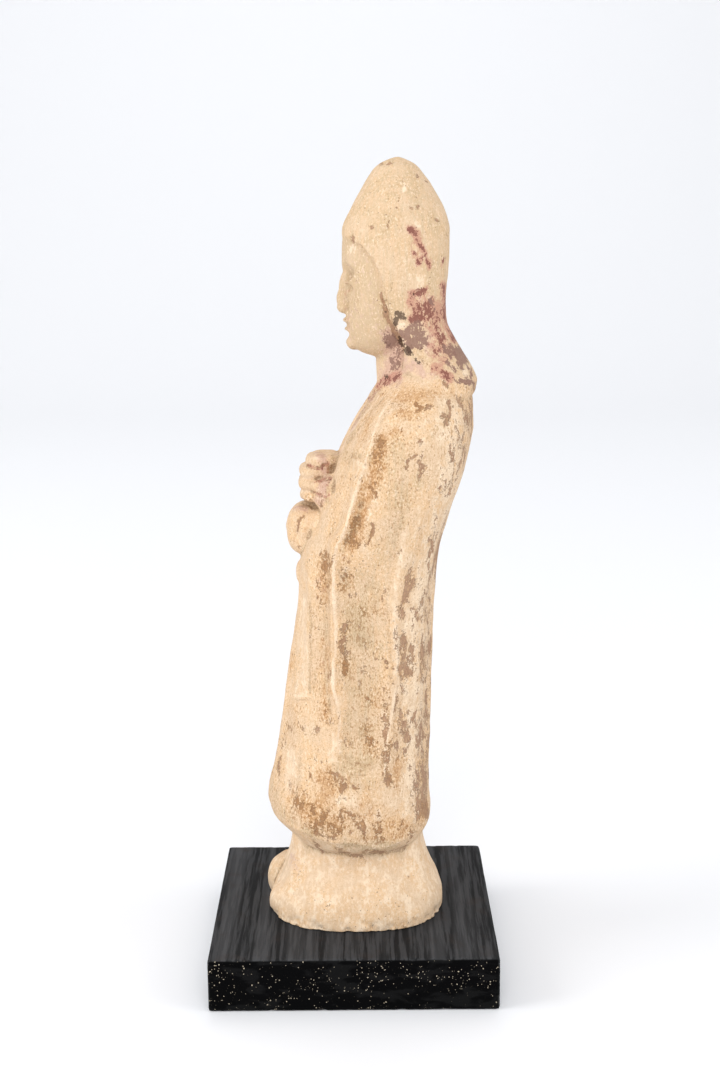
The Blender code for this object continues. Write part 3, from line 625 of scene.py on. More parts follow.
# Broad strokes where the slip has flaked off in specks.
SPECKLED = (
    (1.7, 0.8, 380, 163, 392, 164), (1.6, 1, 399, 180, 400, 181), (1.5, 0.8, 418, 176, 418, 178),
    (1.5, 0.8, 427, 181, 428, 182), (1.5, 0.8, 399, 199, 399, 200), (1.6, 0.8, 397, 208, 397, 209),
    (1.5, 0.8, 406, 208, 413, 209), (1.5, 0.8, 420, 205, 420, 207), (1.8, 1, 388, 223, 388, 225),
    (1.6, 0.8, 391, 214, 391, 216), (1.8, 0.9, 371, 227, 371, 229), (1.6, 0.8, 353, 238, 353, 239),
    (1.6, 0.8, 433, 219, 440, 223), (1.6, 0.8, 446, 233, 446, 237), (1.6, 0.8, 430, 256, 430, 258),
    (1.8, 0.9, 404, 286, 405, 287), (1.6, 0.8, 402, 227, 402, 229), (9, 0.24, 408, 292, 424, 300),
    (6, 0.30, 388, 283, 396, 300), (5, 0.34, 346, 452, 361, 463), (14, 0.30, 368, 606, 368, 745),
    (6.5, 0.56, 378, 440, 375, 470, 366, 498, 357, 522, 350, 541), (4, 0.48, 366, 524, 368, 543),
    (6, 0.40, 325, 552, 324, 602), (3, 0.7, 326, 553, 324, 565), (8, 0.42, 347, 562, 347, 598),
    (8, 0.54, 343, 626, 343, 660), (5, 0.4, 345, 666, 349, 677), (5, 0.55, 380, 660, 391, 667),
    (8, 0.5, 379, 682, 386, 711, 382, 723), (4, 0.45, 358, 695, 374, 705), (9, 0.45, 363, 723, 374, 749),
    (4, 0.4, 345, 737, 354, 743), (5, 0.6, 385, 731, 384, 767, 388, 783), (7, 0.42, 394, 739, 404, 751),
    (4, 0.45, 307, 771, 313, 787), (6, 0.66, 331, 771, 342, 779), (5, 0.6, 341, 787, 354, 787),
    (9, 0.36, 325, 779, 340, 791), (11, 0.62, 300, 798, 314, 819, 334, 832), (8, 0.50, 319, 813, 340, 822),
    (5, 0.50, 347, 811, 358, 821), (5, 0.50, 359, 823, 366, 836), (14, 0.20, 350, 800, 395, 815),
    (10, 0.24, 300, 760, 330, 765), (5, 0.62, 300, 806, 312, 822), (4, 0.6, 376, 826, 384, 840),
    (4, 0.6, 352, 818, 366, 838), (6, 0.4, 306, 496, 320, 503), (4, 0.5, 374, 829, 378, 836),
    (7, 0.45, 385, 824, 402, 830), (5, 0.42, 301, 727, 287, 727), (7, 0.42, 321, 703, 329, 727),
    (4, 0.42, 279, 727, 281, 779), (5, 0.42, 287, 779, 295, 797), (8, 0.58, 404, 596, 402, 616),
    (8, 0.56, 402, 634, 404, 660, 402, 677), (7, 0.58, 422, 640, 422, 677),
    (10, 0.56, 402, 713, 402, 737, 395, 747), (5, 0.52, 414, 713, 416, 727), (6, 0.52, 424, 711, 422, 751),
    (7, 0.32, 406, 751, 406, 765), (8, 0.30, 412, 759, 422, 779), (8, 0.60, 422, 797, 422, 815),
    (5, 0.48, 410, 797, 414, 815), (7, 0.34, 412, 821, 418, 834), (4, 0.5, 430, 600, 430, 680),
    (9, 0.46, 457, 425, 463, 463, 450, 493), (6, 0.34, 442, 480, 429, 497), (5, 0.36, 421, 530, 421, 554),
    (7, 0.48, 433, 535, 431, 558), (9, 0.62, 410, 574, 406, 600), (7, 0.42, 421, 572, 425, 592),
    (6, 0.52, 431, 570, 429, 612), (12, 0.20, 398, 450, 392, 530), (9, 0.26, 318, 610, 318, 690),
    (9, 0.28, 392, 405, 420, 412), (14, 0.24, 420, 440, 412, 500),
)
# Strokes of soft tan stain.
TAN_STAIN = (
    (9, 0.6, 380, 392, 372, 412, 362, 440), (9, 0.75, 398, 398, 412, 396, 434, 396),
    (7, 0.7, 402, 412, 414, 414), (6, 0.7, 392, 432, 402, 433), (10, 0.4, 345, 480, 336, 508, 330, 535),
    (9, 0.9, 381, 440, 377, 470, 366, 498, 357, 525, 352, 545), (7, 0.75, 325, 575, 325, 596),
    (8, 0.6, 324, 565, 326, 560), (7, 0.6, 322, 640, 326, 668), (7, 0.7, 326, 690, 326, 716),
    (3, 0.6, 292, 655, 290, 674), (9, 0.5, 295, 708, 292, 745), (7, 0.35, 312, 755, 318, 745),
    (5, 0.5, 380, 612, 368, 610), (6, 0.6, 345, 588, 350, 578), (5, 0.7, 346, 665, 349, 673),
    (9, 0.5, 375, 700, 384, 708), (11, 0.55, 368, 732, 372, 745), (6, 0.8, 397, 760, 396, 792),
    (11, 0.8, 325, 776, 330, 790, 322, 800), (7, 0.6, 291, 786, 293, 800),
    (13, 0.75, 304, 806, 316, 818, 340, 824), (15, 0.6, 362, 812, 384, 822), (9, 0.7, 405, 824, 398, 836),
    (7, 0.55, 390, 836, 360, 838), (8, 0.6, 330, 806, 344, 810), (6, 0.5, 355, 812, 356, 822),
    (9, 0.5, 348, 292, 352, 300), (10, 0.35, 390, 180, 392, 190), (8, 0.6, 424, 806, 420, 822),
    (5, 0.45, 392, 720, 386, 770), (7, 0.45, 403, 926, 396, 922), (12, 0.3, 345, 865, 360, 868),
    (6, 0.5, 347, 580, 343, 556), (5, 0.35, 275, 780, 272, 800),
)
# Strokes of grey-beige dirt, and of painted shade in the recesses of the cloak, under the hem and under the
# jaw.
GREY_DIRT_AND_SHADE = (
    (16, 0.50, 366, 588, 368, 622, 362, 660, 362, 700, 360, 740, 360, 772), (12, 0.85, 357, 612, 362, 640),
    (13, 0.80, 364, 762, 350, 768), (5, 0.45, 347, 450, 360, 459), (5, 0.42, 342, 455, 352, 461, 366, 458),
    (9, 0.5, 405, 482, 404, 500, 398, 540), (9, 0.45, 410, 478, 424, 478),
    (15, 0.50, 400, 450, 398, 500, 390, 556), (9, 0.34, 318, 600, 316, 690),
    (4.5, 0.95, 345, 846, 372, 847, 396, 845), (8, 0.55, 270, 780, 276, 805, 292, 820),
    (5, 0.5, 380, 272, 384, 288), (7, 0.6, 360, 347, 378, 349), (8, 0.4, 350, 262, 352, 272),
    (4, 0.7, 303, 830, 318, 836), (8, 0.45, 440, 430, 436, 452), (2.5, 0.5, 311, 590, 311, 640, 309, 690),
    (6, 0.25, 345, 215, 355, 200), (6, 0.3, 372, 178, 380, 170), (3, 0.8, 335, 445, 330, 470, 326, 500),
    (7, 0.35, 440, 240, 436, 262), (4, 0.5, 384, 620, 386, 620), (4, 0.3, 405, 762, 396, 756),
    (4, 0.4, 386, 282, 390, 300), (4.5, 0.9, 377, 390, 366, 404, 356, 420, 345, 440),
)
# Strokes of thicker, paler slip, and of painted highlight along some ridge crests.
PALE_SLIP_AND_HIGHLIGHT = (
    (15, 0.85, 458, 420, 440, 540, 419, 600, 413, 700, 414, 810), (10, 0.4, 420, 225, 418, 285),
    (10, 0.55, 440, 400, 436, 460), (9, 0.45, 382, 800, 376, 815), (9, 0.5, 340, 800, 352, 804),
    (6, 0.45, 330, 700, 334, 760), (3, 1.1, 392, 600, 396, 620, 398, 640, 396, 672),
    (3.5, 0.7, 402, 545, 398, 575, 394, 600), (6, 0.35, 425, 460, 418, 520, 410, 560),
    (9, 0.7, 412, 685, 414, 700), (8, 0.7, 418, 760, 420, 790), (7, 0.6, 340, 740, 332, 758),
    (6, 0.5, 303, 600, 303, 690), (5, 0.7, 352, 800, 350, 806), (6, 0.5, 300, 750, 292, 770),
    (4, 0.7, 370, 480, 366, 470), (5, 0.75, 372, 505, 370, 515), (4, 0.7, 345, 572, 348, 570),
    (8, 0.5, 433, 400, 430, 420, 424, 440), (4, 0.8, 405, 186, 405, 190), (5, 0.8, 402, 322, 401, 330),
    (6, 0.6, 420, 296, 428, 300), (2.4, 0.9, 465, 366, 466, 374), (4, 0.5, 350, 248, 350, 252),
    (6, 0.5, 414, 627, 412, 634), (6, 0.5, 340, 748, 336, 770), (2, 0.9, 388, 757, 389, 765),
    (14, 0.35, 330, 864, 340, 880), (16, 0.5, 300, 890, 340, 905, 370, 890), (12, 0.4, 385, 895, 395, 880),
    (7, 0.5, 390, 806, 392, 812), (6, 0.5, 440, 400, 457, 420),
)
# Thin strokes of painted highlight along raised edges, where the slip is also rubbed pale.
RUBBED_AND_HIGHLIT_EDGES = (
    (1.5, 1.0, 366, 459, 361, 477, 353.5, 498, 346, 526, 340, 541),
    (1.7, 1.0, 337.6, 543, 333.5, 560, 333.5, 581, 334.5, 602, 336, 630, 335, 650, 333, 670, 333, 690),
    (1.7, 0.9, 333, 690, 338, 708, 340, 722, 338, 736),
    (1.2, 0.75, 366, 459, 373.6, 433, 382, 412, 397, 393),
    (1.0, 0.7, 341, 450, 350, 433, 365, 414, 380, 395),
    (3.2, 0.5, 405, 532, 400, 564, 396, 590, 397, 620, 396, 650, 397, 690),
    (1.5, 0.9, 396, 690, 392, 712, 388, 730, 386, 752, 385, 772), (0.9, 0.8, 286, 695, 313, 696.5),
    (3.6, 0.5, 304.5, 600, 305, 692), (4.5, 0.55, 290, 752, 288, 792), (3.0, 0.6, 358, 463, 364, 467),
    (2.0, 0.8, 404, 188, 405, 190), (2.0, 0.7, 314, 459, 318, 458), (1.8, 0.6, 305, 478, 313, 477),
    (2.0, 0.6, 302, 492, 309, 491),
)
# Thin strokes of painted shade along sunk edges, with some dirt.
DIRTY_AND_SHADED_EDGES = (
    (1.6, 0.75, 311, 602, 310, 692), (1.0, 0.7, 287, 698.5, 312, 700),
    (1.8, 0.6, 339, 562, 339, 600, 341, 640, 339, 684),
    (1.6, 0.6, 329.5, 560, 329, 600, 330, 640, 328, 690),
    (3.0, 0.5, 390, 560, 386, 600, 389, 640, 391, 684), (5.0, 0.55, 342, 756, 362, 768, 384, 764),
    (0.9, 0.9, 350, 774, 358, 775.5, 367, 775), (1.0, 0.7, 345, 452, 353, 436, 369, 416, 384, 397),
    (1.4, 0.6, 369, 462, 377, 436, 385, 415), (3.0, 0.5, 300, 752, 299, 795),
    (1.4, 0.6, 325, 604, 325, 690), (3.0, 0.4, 296, 605, 294, 690),
    (4.0, 0.4, 404, 470, 400, 520, 392, 556), (1.3, 0.8, 307, 467.5, 318, 468.5, 328, 465),
    (1.2, 0.7, 305, 481, 316, 481.5, 327, 479), (1.2, 0.7, 304, 495, 324, 496.5),
    (1.6, 0.8, 300, 506, 318, 507),
)
# Strokes of thin pink paint.
PINK_PAINT = (
    (7, 0.75, 402, 372, 412, 366, 422, 372), (9, 0.5, 431, 335, 428, 348),
    (11, 1.0, 391, 340, 397, 356, 392, 374), (3.5, 0.7, 377, 391, 366, 404, 356, 420, 346, 438),
    (5.5, 0.85, 320, 456, 325, 474, 320, 500), (3.5, 0.45, 375, 390, 355, 420, 338, 450, 322, 500),
    (5, 0.8, 296, 505, 302, 508), (4, 0.5, 348, 318, 346, 326), (5, 0.5, 293, 858, 295, 868),
    (6, 0.6, 392, 379, 396, 382), (7, 0.45, 426, 372, 446, 378), (6, 0.35, 325, 590, 322, 580),
    (5, 0.3, 345, 560, 338, 553),
)

# Heights and turns of the skin between which each kind of working fades in.
CLOAK_TOP = (0.722, 0.735)
FACE_BOTTOM = (0.755, 0.770)
FACE_BACK = 0.030
SIDE_TURN = (0.15, 0.60)
FRONT_TURN = (0.20, 0.65)
FOLD_FADE_SHARE = 0.18
LEDGE_FADE_SHARE = 0.12
# Unevenness left by wiping, on the hands, and where the rim is broken: rise, size, seed, threshold.
WIPED_UNEVENNESS = ((0.0007, 0.045, 11), (0.0004, 0.016, 12), (0.00016, 0.006, 13))
HAND_UNEVENNESS = ((0.0020, 0.022, 15), (0.0014, 0.010, 16))
RIM_CHIPS = ((0.0052, 0.011, 14, 0.12), (0.0020, 0.004, 17, 0.10))

# Edges where one layer of cloth ends on another: path of depth and height, soft width, drop width,
# height. The cloth stands proud on the right of the path, looking along it, and drops on its left.
LEDGES = (
    (
        ((-0.030, 0.566), (-0.0125, 0.611), (0.003, 0.650), (0.030, 0.690), (0.054, 0.713)),
        0.020,
        0.0034,
        0.0048,
    ),
    (((-0.0055, 0.600), (0.0209, 0.655), (0.0385, 0.680), (0.061, 0.700)), 0.012, 0.0034, 0.0028),
    (
        ((0.037, 0.674), (0.0295, 0.648), (0.0230, 0.6299), (0.0165, 0.6118), (0.0043, 0.5641))
        + ((-0.0105, 0.5332), (-0.0173, 0.5130), (-0.0196, 0.4556), (-0.0204, 0.3773), (-0.0208, 0.3353))
        + ((-0.0185, 0.3097), (-0.0172, 0.2704), (-0.020, 0.235)),
        0.010,
        0.0040,
        0.0050,
    ),
    (((-0.018, 0.624), (0.000, 0.6277), (0.0218, 0.6311)), 0.012, 0.0034, 0.0036),
    (
        ((-0.0491, 0.500), (-0.0501, 0.448), (-0.0504, 0.397), (-0.0508, 0.364), (-0.0549, 0.325)),
        0.012,
        0.010,
        0.0034,
    ),
    (
        ((0.0476, 0.290), (0.0450, 0.255), (0.0384, 0.2280), (0.0270, 0.2205), (0.0158, 0.2200))
        + ((-0.0010, 0.2215), (-0.0140, 0.2290)),
        0.020,
        0.022,
        0.0044,
    ),
    (((-0.0510, 0.3215), (-0.0671, 0.3155), (-0.0856, 0.3010)), 0.010, 0.0034, 0.0016),
    (
        ((-0.098, 0.1466), (-0.0664, 0.1433), (-0.0324, 0.1319), (0.0015, 0.132))
        + ((0.0366, 0.1208), (0.0862, 0.1306)),
        0.008,
        0.004,
        0.0012,
    ),
)
# Scratches and sharp creases, on the same side: path, half width, height.
SHARP_CREASES = (
    (((0.000, 0.2262), (0.010, 0.2255), (0.020, 0.2252)), 0.0010, -0.0016),
    (((0.030, 0.690), (0.003, 0.650), (-0.0125, 0.611), (-0.030, 0.566)), 0.0024, -0.0024),
    (((0.0516, 0.7114), (0.0289, 0.690), (0.0032, 0.650), (-0.0060, 0.628)), 0.0022, -0.0020),
    (((0.0610, 0.700), (0.0385, 0.680), (0.0209, 0.655), (0.0157, 0.638)), 0.0024, -0.0022),
    (((-0.0254, 0.566), (-0.015, 0.600), (-0.006, 0.619)), 0.0040, -0.0022),
    (((-0.0727, 0.320), (-0.076, 0.246), (-0.0738, 0.170)), 0.0100, 0.0022),
    (((-0.082, 0.290), (-0.084, 0.238), (-0.083, 0.177)), 0.0060, -0.0022),
    (((0.0545, 0.470), (0.051, 0.420), (0.0535, 0.375), (0.050, 0.320), (0.046, 0.250)), 0.0040, 0.0022),
    (((0.012, 0.570), (0.006, 0.545), (-0.008, 0.528)), 0.0050, -0.0020),
    (((-0.0295, 0.090), (-0.0272, 0.030)), 0.0100, -0.0014),
)


def curve_through(levels, values, at):
    """A smooth curve through the stations that never swings past them."""
    steps = np.diff(levels)
    slopes = np.diff(values) / steps
    before, after = slopes[:-1], slopes[1:]
    same_way = before * after > 0
    total = np.where(same_way, before + after, 1.0)
    inner = np.where(same_way, 2.0 * before * after / total, 0.0)
    tangents = np.concatenate([slopes[:1], inner, slopes[-1:]])
    at = np.clip(at, levels[0], levels[-1])
    span = np.clip(np.searchsorted(levels, at, side="right") - 1, 0, len(steps) - 1)
    step = steps[span]
    t = (at - levels[span]) / step
    start = (1 + 2 * t) * (1 - t) ** 2 * values[span] + t * (1 - t) ** 2 * step * tangents[span]
    end = t * t * (3 - 2 * t) * values[span + 1] + t * t * (t - 1) * step * tangents[span + 1]
    return start + end


def signed_power(value, power):
    return np.sign(value) * np.abs(value) ** power


def rows_of_faces(rows, corners):
    """Faces between rows of points that go round, with a flat end at each end."""
    faces = []
    for row in range(rows - 1):
        low, high = row * corners, (row + 1) * corners
        for corner in range(corners):
            beside = (corner + 1) % corners
            faces.append((low + corner, low + beside, high + beside, high + corner))
    faces.append(tuple(range(corners))[::-1])
    faces.append(tuple(range((rows - 1) * corners, rows * corners)))
    return faces


def rings_of_clay(stations):
    """A closed skin over level rings."""
    table = np.array(stations)
    levels = table[:, 0]
    count = max(8, round((levels[-1] - levels[0]) * RINGS_PER_HEIGHT))
    heights = np.linspace(levels[0], levels[-1], count)
    front, back, half_width, square = (curve_through(levels, table[:, i], heights) for i in range(1, 5))
    turn = np.arange(RING_CORNERS) * 2 * math.pi / RING_CORNERS
    power = 2.0 / square[:, None]
    across = half_width[:, None] * signed_power(np.cos(turn), power)
    depth = (front + back)[:, None] / 2 + (back - front)[:, None] / 2 * signed_power(np.sin(turn), power)
    points = np.stack([across, depth, np.repeat(heights[:, None], RING_CORNERS, axis=1)], axis=2)
    return points.reshape(-1, 3), rows_of_faces(count, RING_CORNERS)


def lump_of_clay(middle, half_sizes, squareness):
    rows, corners = 40, 64
    tilt = np.linspace(-0.495 * math.pi, 0.495 * math.pi, rows)
    turn = np.arange(corners) * 2 * math.pi / corners
    power = 2.0 / squareness
    out = signed_power(np.cos(tilt), power)[:, None]
    across = out * signed_power(np.cos(turn), power)
    depth = out * signed_power(np.sin(turn), power)
    height = np.repeat(signed_power(np.sin(tilt), power)[:, None], corners, axis=1)
    points = np.stack([across, depth, height], axis=2).reshape(-1, 3)
    return points * np.array(half_sizes) + np.array(middle), rows_of_faces(rows, corners)


def sleeve_of_clay(start, end, start_radius, end_radius):
    """A tapering tube with round ends."""
    rows, corners = 60, 64
    length = np.linalg.norm(end - start)
    along_axis = (end - start) / length
    beside = np.cross(along_axis, (0.0, 0.0, 1.0))
    beside /= np.linalg.norm(beside)
    above = np.cross(along_axis, beside)
    along = np.linspace(-start_radius, length + end_radius, rows + 2)[1:-1]
    radius = start_radius + (end_radius - start_radius) * np.clip(along / length, 0.0, 1.0)
    past_end = np.maximum(-along, along - length).clip(0.0)
    around = np.sqrt(np.maximum(radius**2 - past_end**2, (0.1 * radius) ** 2))
    turn = np.arange(corners) * 2 * math.pi / corners
    ring = np.cos(turn)[:, None] * beside + np.sin(turn)[:, None] * above
    points = start + along[:, None, None] * along_axis + around[:, None, None] * ring
    return points.reshape(-1, 3), rows_of_faces(rows, corners)


def soft_step(value, low, high):
    t = np.clip((value - low) / (high - low), 0.0, 1.0)
    return t * t * (3 - 2 * t)


def open_hood(points):
    """Sinks the hood in front of its edge, so that the face shows."""
    edge = np.array(HOOD_EDGE)
    depth_of_edge = np.interp(points[:, 2], edge[:, 0], edge[:, 1])
    in_front = 1 - soft_step(points[:, 1] - depth_of_edge, *HOOD_EDGE_ROUNDING)
    in_front *= (points[:, 2] > edge[0, 0]) & (points[:, 2] < edge[-1, 0])
    sunk = points.copy()
    sunk[:, 0] *= 1 - in_front * HOOD_SINK_WIDTH_SHARE
    sunk[:, 1] += in_front * HOOD_SINK_DEPTH
    return sunk


def keep_evaluated(item):
    """Replaces the object's mesh by what its modifiers make of it."""
    graph = bpy.context.evaluated_depsgraph_get()
    made = bpy.data.meshes.new_from_object(item.evaluated_get(graph))
    item.modifiers.clear()
    item.data = made


def skin_of(mesh):
    """Points and normals of a mesh as arrays."""
    points = np.empty(len(mesh.vertices) * 3)
    normals = np.empty(len(mesh.vertices) * 3, dtype=np.float32)
    mesh.vertices.foreach_get("co", points)
    mesh.vertex_normals.foreach_get("vector", normals)
    return points.reshape(-1, 3), normals.reshape(-1, 3)


def near_path(places, path):
    """Distance of each place to a line of straight runs, and how far along it that is, as a share."""
    corners = np.array(path)
    runs = np.diff(corners, axis=0)
    lengths = np.hypot(runs[:, 0], runs[:, 1])
    nearest = np.full(len(places), np.inf)
    share = np.zeros(len(places))
    for start, run, length, before in zip(corners, runs, lengths, np.cumsum(lengths) - lengths):
        along = np.clip((places - start) @ run / length**2, 0.0, 1.0)
        away = places - start - along[:, None] * run
        distance = np.hypot(away[:, 0], away[:, 1])
        closer = distance < nearest
        nearest = np.where(closer, distance, nearest)
        share = np.where(closer, (before + along * length) / lengths.sum(), share)
    return nearest, share


def faded(share, over):
    """1 along the middle of a fold, falling to 0 over this share of its length at both ends."""
    return soft_step(share, 0.0, over) * (1 - soft_step(share, 1 - over, 1.0))


def pressed(places, facing_share, folds):
    """How far the folds raise (or sink) the skin at each place."""
    raised = np.zeros(len(places))
    for path, half_width, height in folds:
        distance, share = near_path(places, path)
        reach = distance / (2 * half_width)
        raised += height * faded(share, FOLD_FADE_SHARE) * np.clip(1 - reach**2, 0.0, 1.0) ** 2
    return raised * facing_share


def stepped(places, facing_share):
    """How far the ledges raise the skin at each place."""
    raised = np.zeros(len(places))
    for path, soft_width, drop_width, height in LEDGES:
        corners = np.array(path)
        distance, share = near_path(places, path)
        runs = np.diff(corners, axis=0)
        lengths = np.hypot(runs[:, 0], runs[:, 1])
        run = np.searchsorted(np.cumsum(lengths) / lengths.sum(), share).clip(0, len(runs) - 1)
        away = places - corners[run]
        on_left = runs[run, 0] * away[:, 1] - runs[run, 1] * away[:, 0] > 0
        fall = np.where(on_left, drop_width, soft_width)
        raised += height * faded(share, LEDGE_FADE_SHARE) * (1 - soft_step(distance, 0.0, fall))
    return raised * facing_share


def work_the_skin(mesh):
    """Presses in the folds, the collar, the face and the fine marks, and roughens the rim."""
    points, normals = skin_of(mesh)
    across, depth, height = points.T
    below_neck = 1 - soft_step(height, *CLOAK_TOP)
    on_face = soft_step(height, *FACE_BOTTOM) * (depth < FACE_BACK)
    sideways = soft_step(np.abs(normals[:, 0]), *SIDE_TURN)
    forwards = soft_step(-normals[:, 1], *FRONT_TURN)
    backwards = soft_step(normals[:, 1], *FRONT_TURN)
    from_side = np.stack([depth, height], axis=1)
    from_front = np.stack([across, height], axis=1)
    raised = pressed(from_side, sideways * below_neck, SIDE_FOLDS)
    raised += pressed(from_side, sideways * below_neck, SHARP_CREASES)
    raised += stepped(from_side, sideways * below_neck)
    raised += pressed(from_front, forwards * below_neck, FRONT_FOLDS)
    raised += pressed(from_front, backwards * below_neck, BACK_FOLDS)
    raised += pressed(from_front, forwards * on_face, FACE_CREASES)
    calm = 1 - 0.8 * on_face
    for rise, size, seed in WIPED_UNEVENNESS:
        raised += calm * rise * unevenness(points, size, seed)
    at_hands = soft_step(-depth, 0.010, 0.030) * soft_step(height, 0.515, 0.535)
    at_hands *= 1 - soft_step(height, 0.64, 0.66)
    raised += at_hands * sum(rise * unevenness(points, size, seed) for rise, size, seed in HAND_UNEVENNESS)
    at_rim = 1 - soft_step(height, 0.004, 0.016)
    for rise, size, seed, least in RIM_CHIPS:
        raised -= at_rim * rise * np.clip(unevenness(points, size, seed) - least, 0.0, 1.0)
    points += normals * raised[:, None]
    mesh.vertices.foreach_set("co", points.ravel())
    mesh.update()


def pottery_skin():
    """The whole figure as one fine skin, in shares of the figure's height."""
    hood_points, hood_faces = rings_of_clay(HOOD)
    shapes = [rings_of_clay(CLOAK), rings_of_clay(UNDERSKIRT), rings_of_clay(HEAD), rings_of_clay(NECK)]
    shapes.append((open_hood(hood_points), hood_faces))
    for group in LUMPS.values():
        shapes += [lump_of_clay(*each) for each in group]
    for side in (1, -1):
        for start, end, *radii in FOREARMS:
            to_side = np.array((side, 1, 1))
            shapes.append(sleeve_of_clay(start * to_side, end * to_side, *radii))
    points, faces, first = [], [], 0
    for shape_points, shape_faces in shapes:
        points.append(shape_points)
        faces += [tuple(first + index for index in face) for face in shape_faces]
        first += len(shape_points)
    item = shape("slipped_figure", np.concatenate(points), faces, slip)
    remesh = item.modifiers.new("one_skin", "REMESH")
    remesh.mode = "VOXEL"
    remesh.voxel_size = SKIN_STEP
    smooth = item.modifiers.new("wiped_clay", "SMOOTH")
    smooth.factor = 0.5
    smooth.iterations = SKIN_SMOOTHING_ROUNDS
    keep_evaluated(item)
    work_the_skin(item.data)
    body = bmesh.new()
    body.from_mesh(item.data)
    everything = body.verts[:] + body.edges[:] + body.faces[:]
    level = {"plane_co": (0, 0, 0), "plane_no": (0, 0, 1)}
    bmesh.ops.bisect_plane(body, geom=everything, clear_inner=True, **level)
    rim = [edge for edge in body.edges if edge.is_boundary]
    underside = bmesh.ops.contextual_create(body, geom=rim)["faces"]
    bmesh.ops.triangulate(body, faces=underside)
    body.to_mesh(item.data)
    body.free()
    item.data.calc_loop_triangles()
    decimate = item.modifiers.new("fewer_faces", "DECIMATE")
    decimate.use_collapse_triangulate = True
    decimate.ratio = min(1.0, MOST_TRIANGLES / len(item.data.loop_triangles))
    keep_evaluated(item)
    return item


PHOTO_MIDDLE = (360.0, 538.5)
OTHER_SIDE_SHIFT = (7.0, -11.0)
OTHER_SIDE_WANDER = 9.0
HOLLOW_SOFTENING = 6
FULL_HOLLOW = 0.000025
SLIP_THICKNESS = 0.00016
# Wear where the photograph shows nothing: all over, in broad lumps, in patches.
BACK_WEAR = (0.42, 0.22, 0.30)
FRONT_WEAR = (0.20, 0.20, 0.20)
HOOD_DIRT = 0.50
FACE_DIRT = 0.74
FACE_PINK = 0.24
# The skirt is painted paler: its slip is cleaner, and it is painted lighter for the light that its flare
# catches from above.
SKIRT_PALENESS = 0.30
WIPED_SMOOTH = 0.75


def photo_places(points):
    """Where the photograph shows each point of the figure, in its pixels."""
    away = points - np.array(STANDS_AT)
    far = away @ np.array(ahead)
    over = PHOTO_MIDDLE[0] + FOCAL_PIXELS * (away @ np.array(right)) / far
    down = PHOTO_MIDDLE[1] - FOCAL_PIXELS * (away @ np.array(up)) / far
    return np.stack([over, down], axis=1)


def strokes(places, marks, softness, blur=1.2):
    """How strongly these marks cover each place, from 0 to 1."""
    cover = np.zeros(len(places))
    for half_width, strength, *path in marks:
        corners = np.array(path, dtype=float).reshape(-1, 2)
        soft = blur + softness * half_width
        reach = half_width + soft
        low, high = corners.min(axis=0) - reach, corners.max(axis=0) + reach
        near = np.flatnonzero(((places > low) & (places < high)).all(axis=1))
        if len(near) == 0:
            continue
        distance, _ = near_path(places[near], corners)
        shown = strength * (1 - soft_step(distance, half_width - soft, half_width + soft))
        cover[near] = np.maximum(cover[near], shown)
    return cover


def hollows(mesh, points, normals):
    """Above 0 in creases and below 0 on edges, softened over a few neighbours."""
    ends = np.empty(len(mesh.edges) * 2, dtype=np.int64)
    mesh.edges.foreach_get("vertices", ends)
    first, second = ends.reshape(-1, 2).T
    count = np.bincount(ends, minlength=len(points)).clip(1)

    def neighbours(values):
        total = np.bincount(first, values[second], len(points))
        total += np.bincount(second, values[first], len(points))
        return total / count

    around = np.stack([neighbours(points[:, axis]) for axis in range(3)], axis=1)
    bend = ((around - points) * normals).sum(axis=1)
    for _ in range(HOLLOW_SOFTENING):
        bend = neighbours(bend)
    return bend


def paint(mesh, name, red, green, blue):
    """Stores three values at each point of the mesh as one colour attribute."""
    layer = mesh.color_attributes.new(name, "FLOAT_COLOR", "POINT")
    values = np.stack([red, green, blue, np.ones(len(red))], axis=1).clip(0.0, 1.0)
    layer.data.foreach_set("color", values.astype(np.float32).ravel())


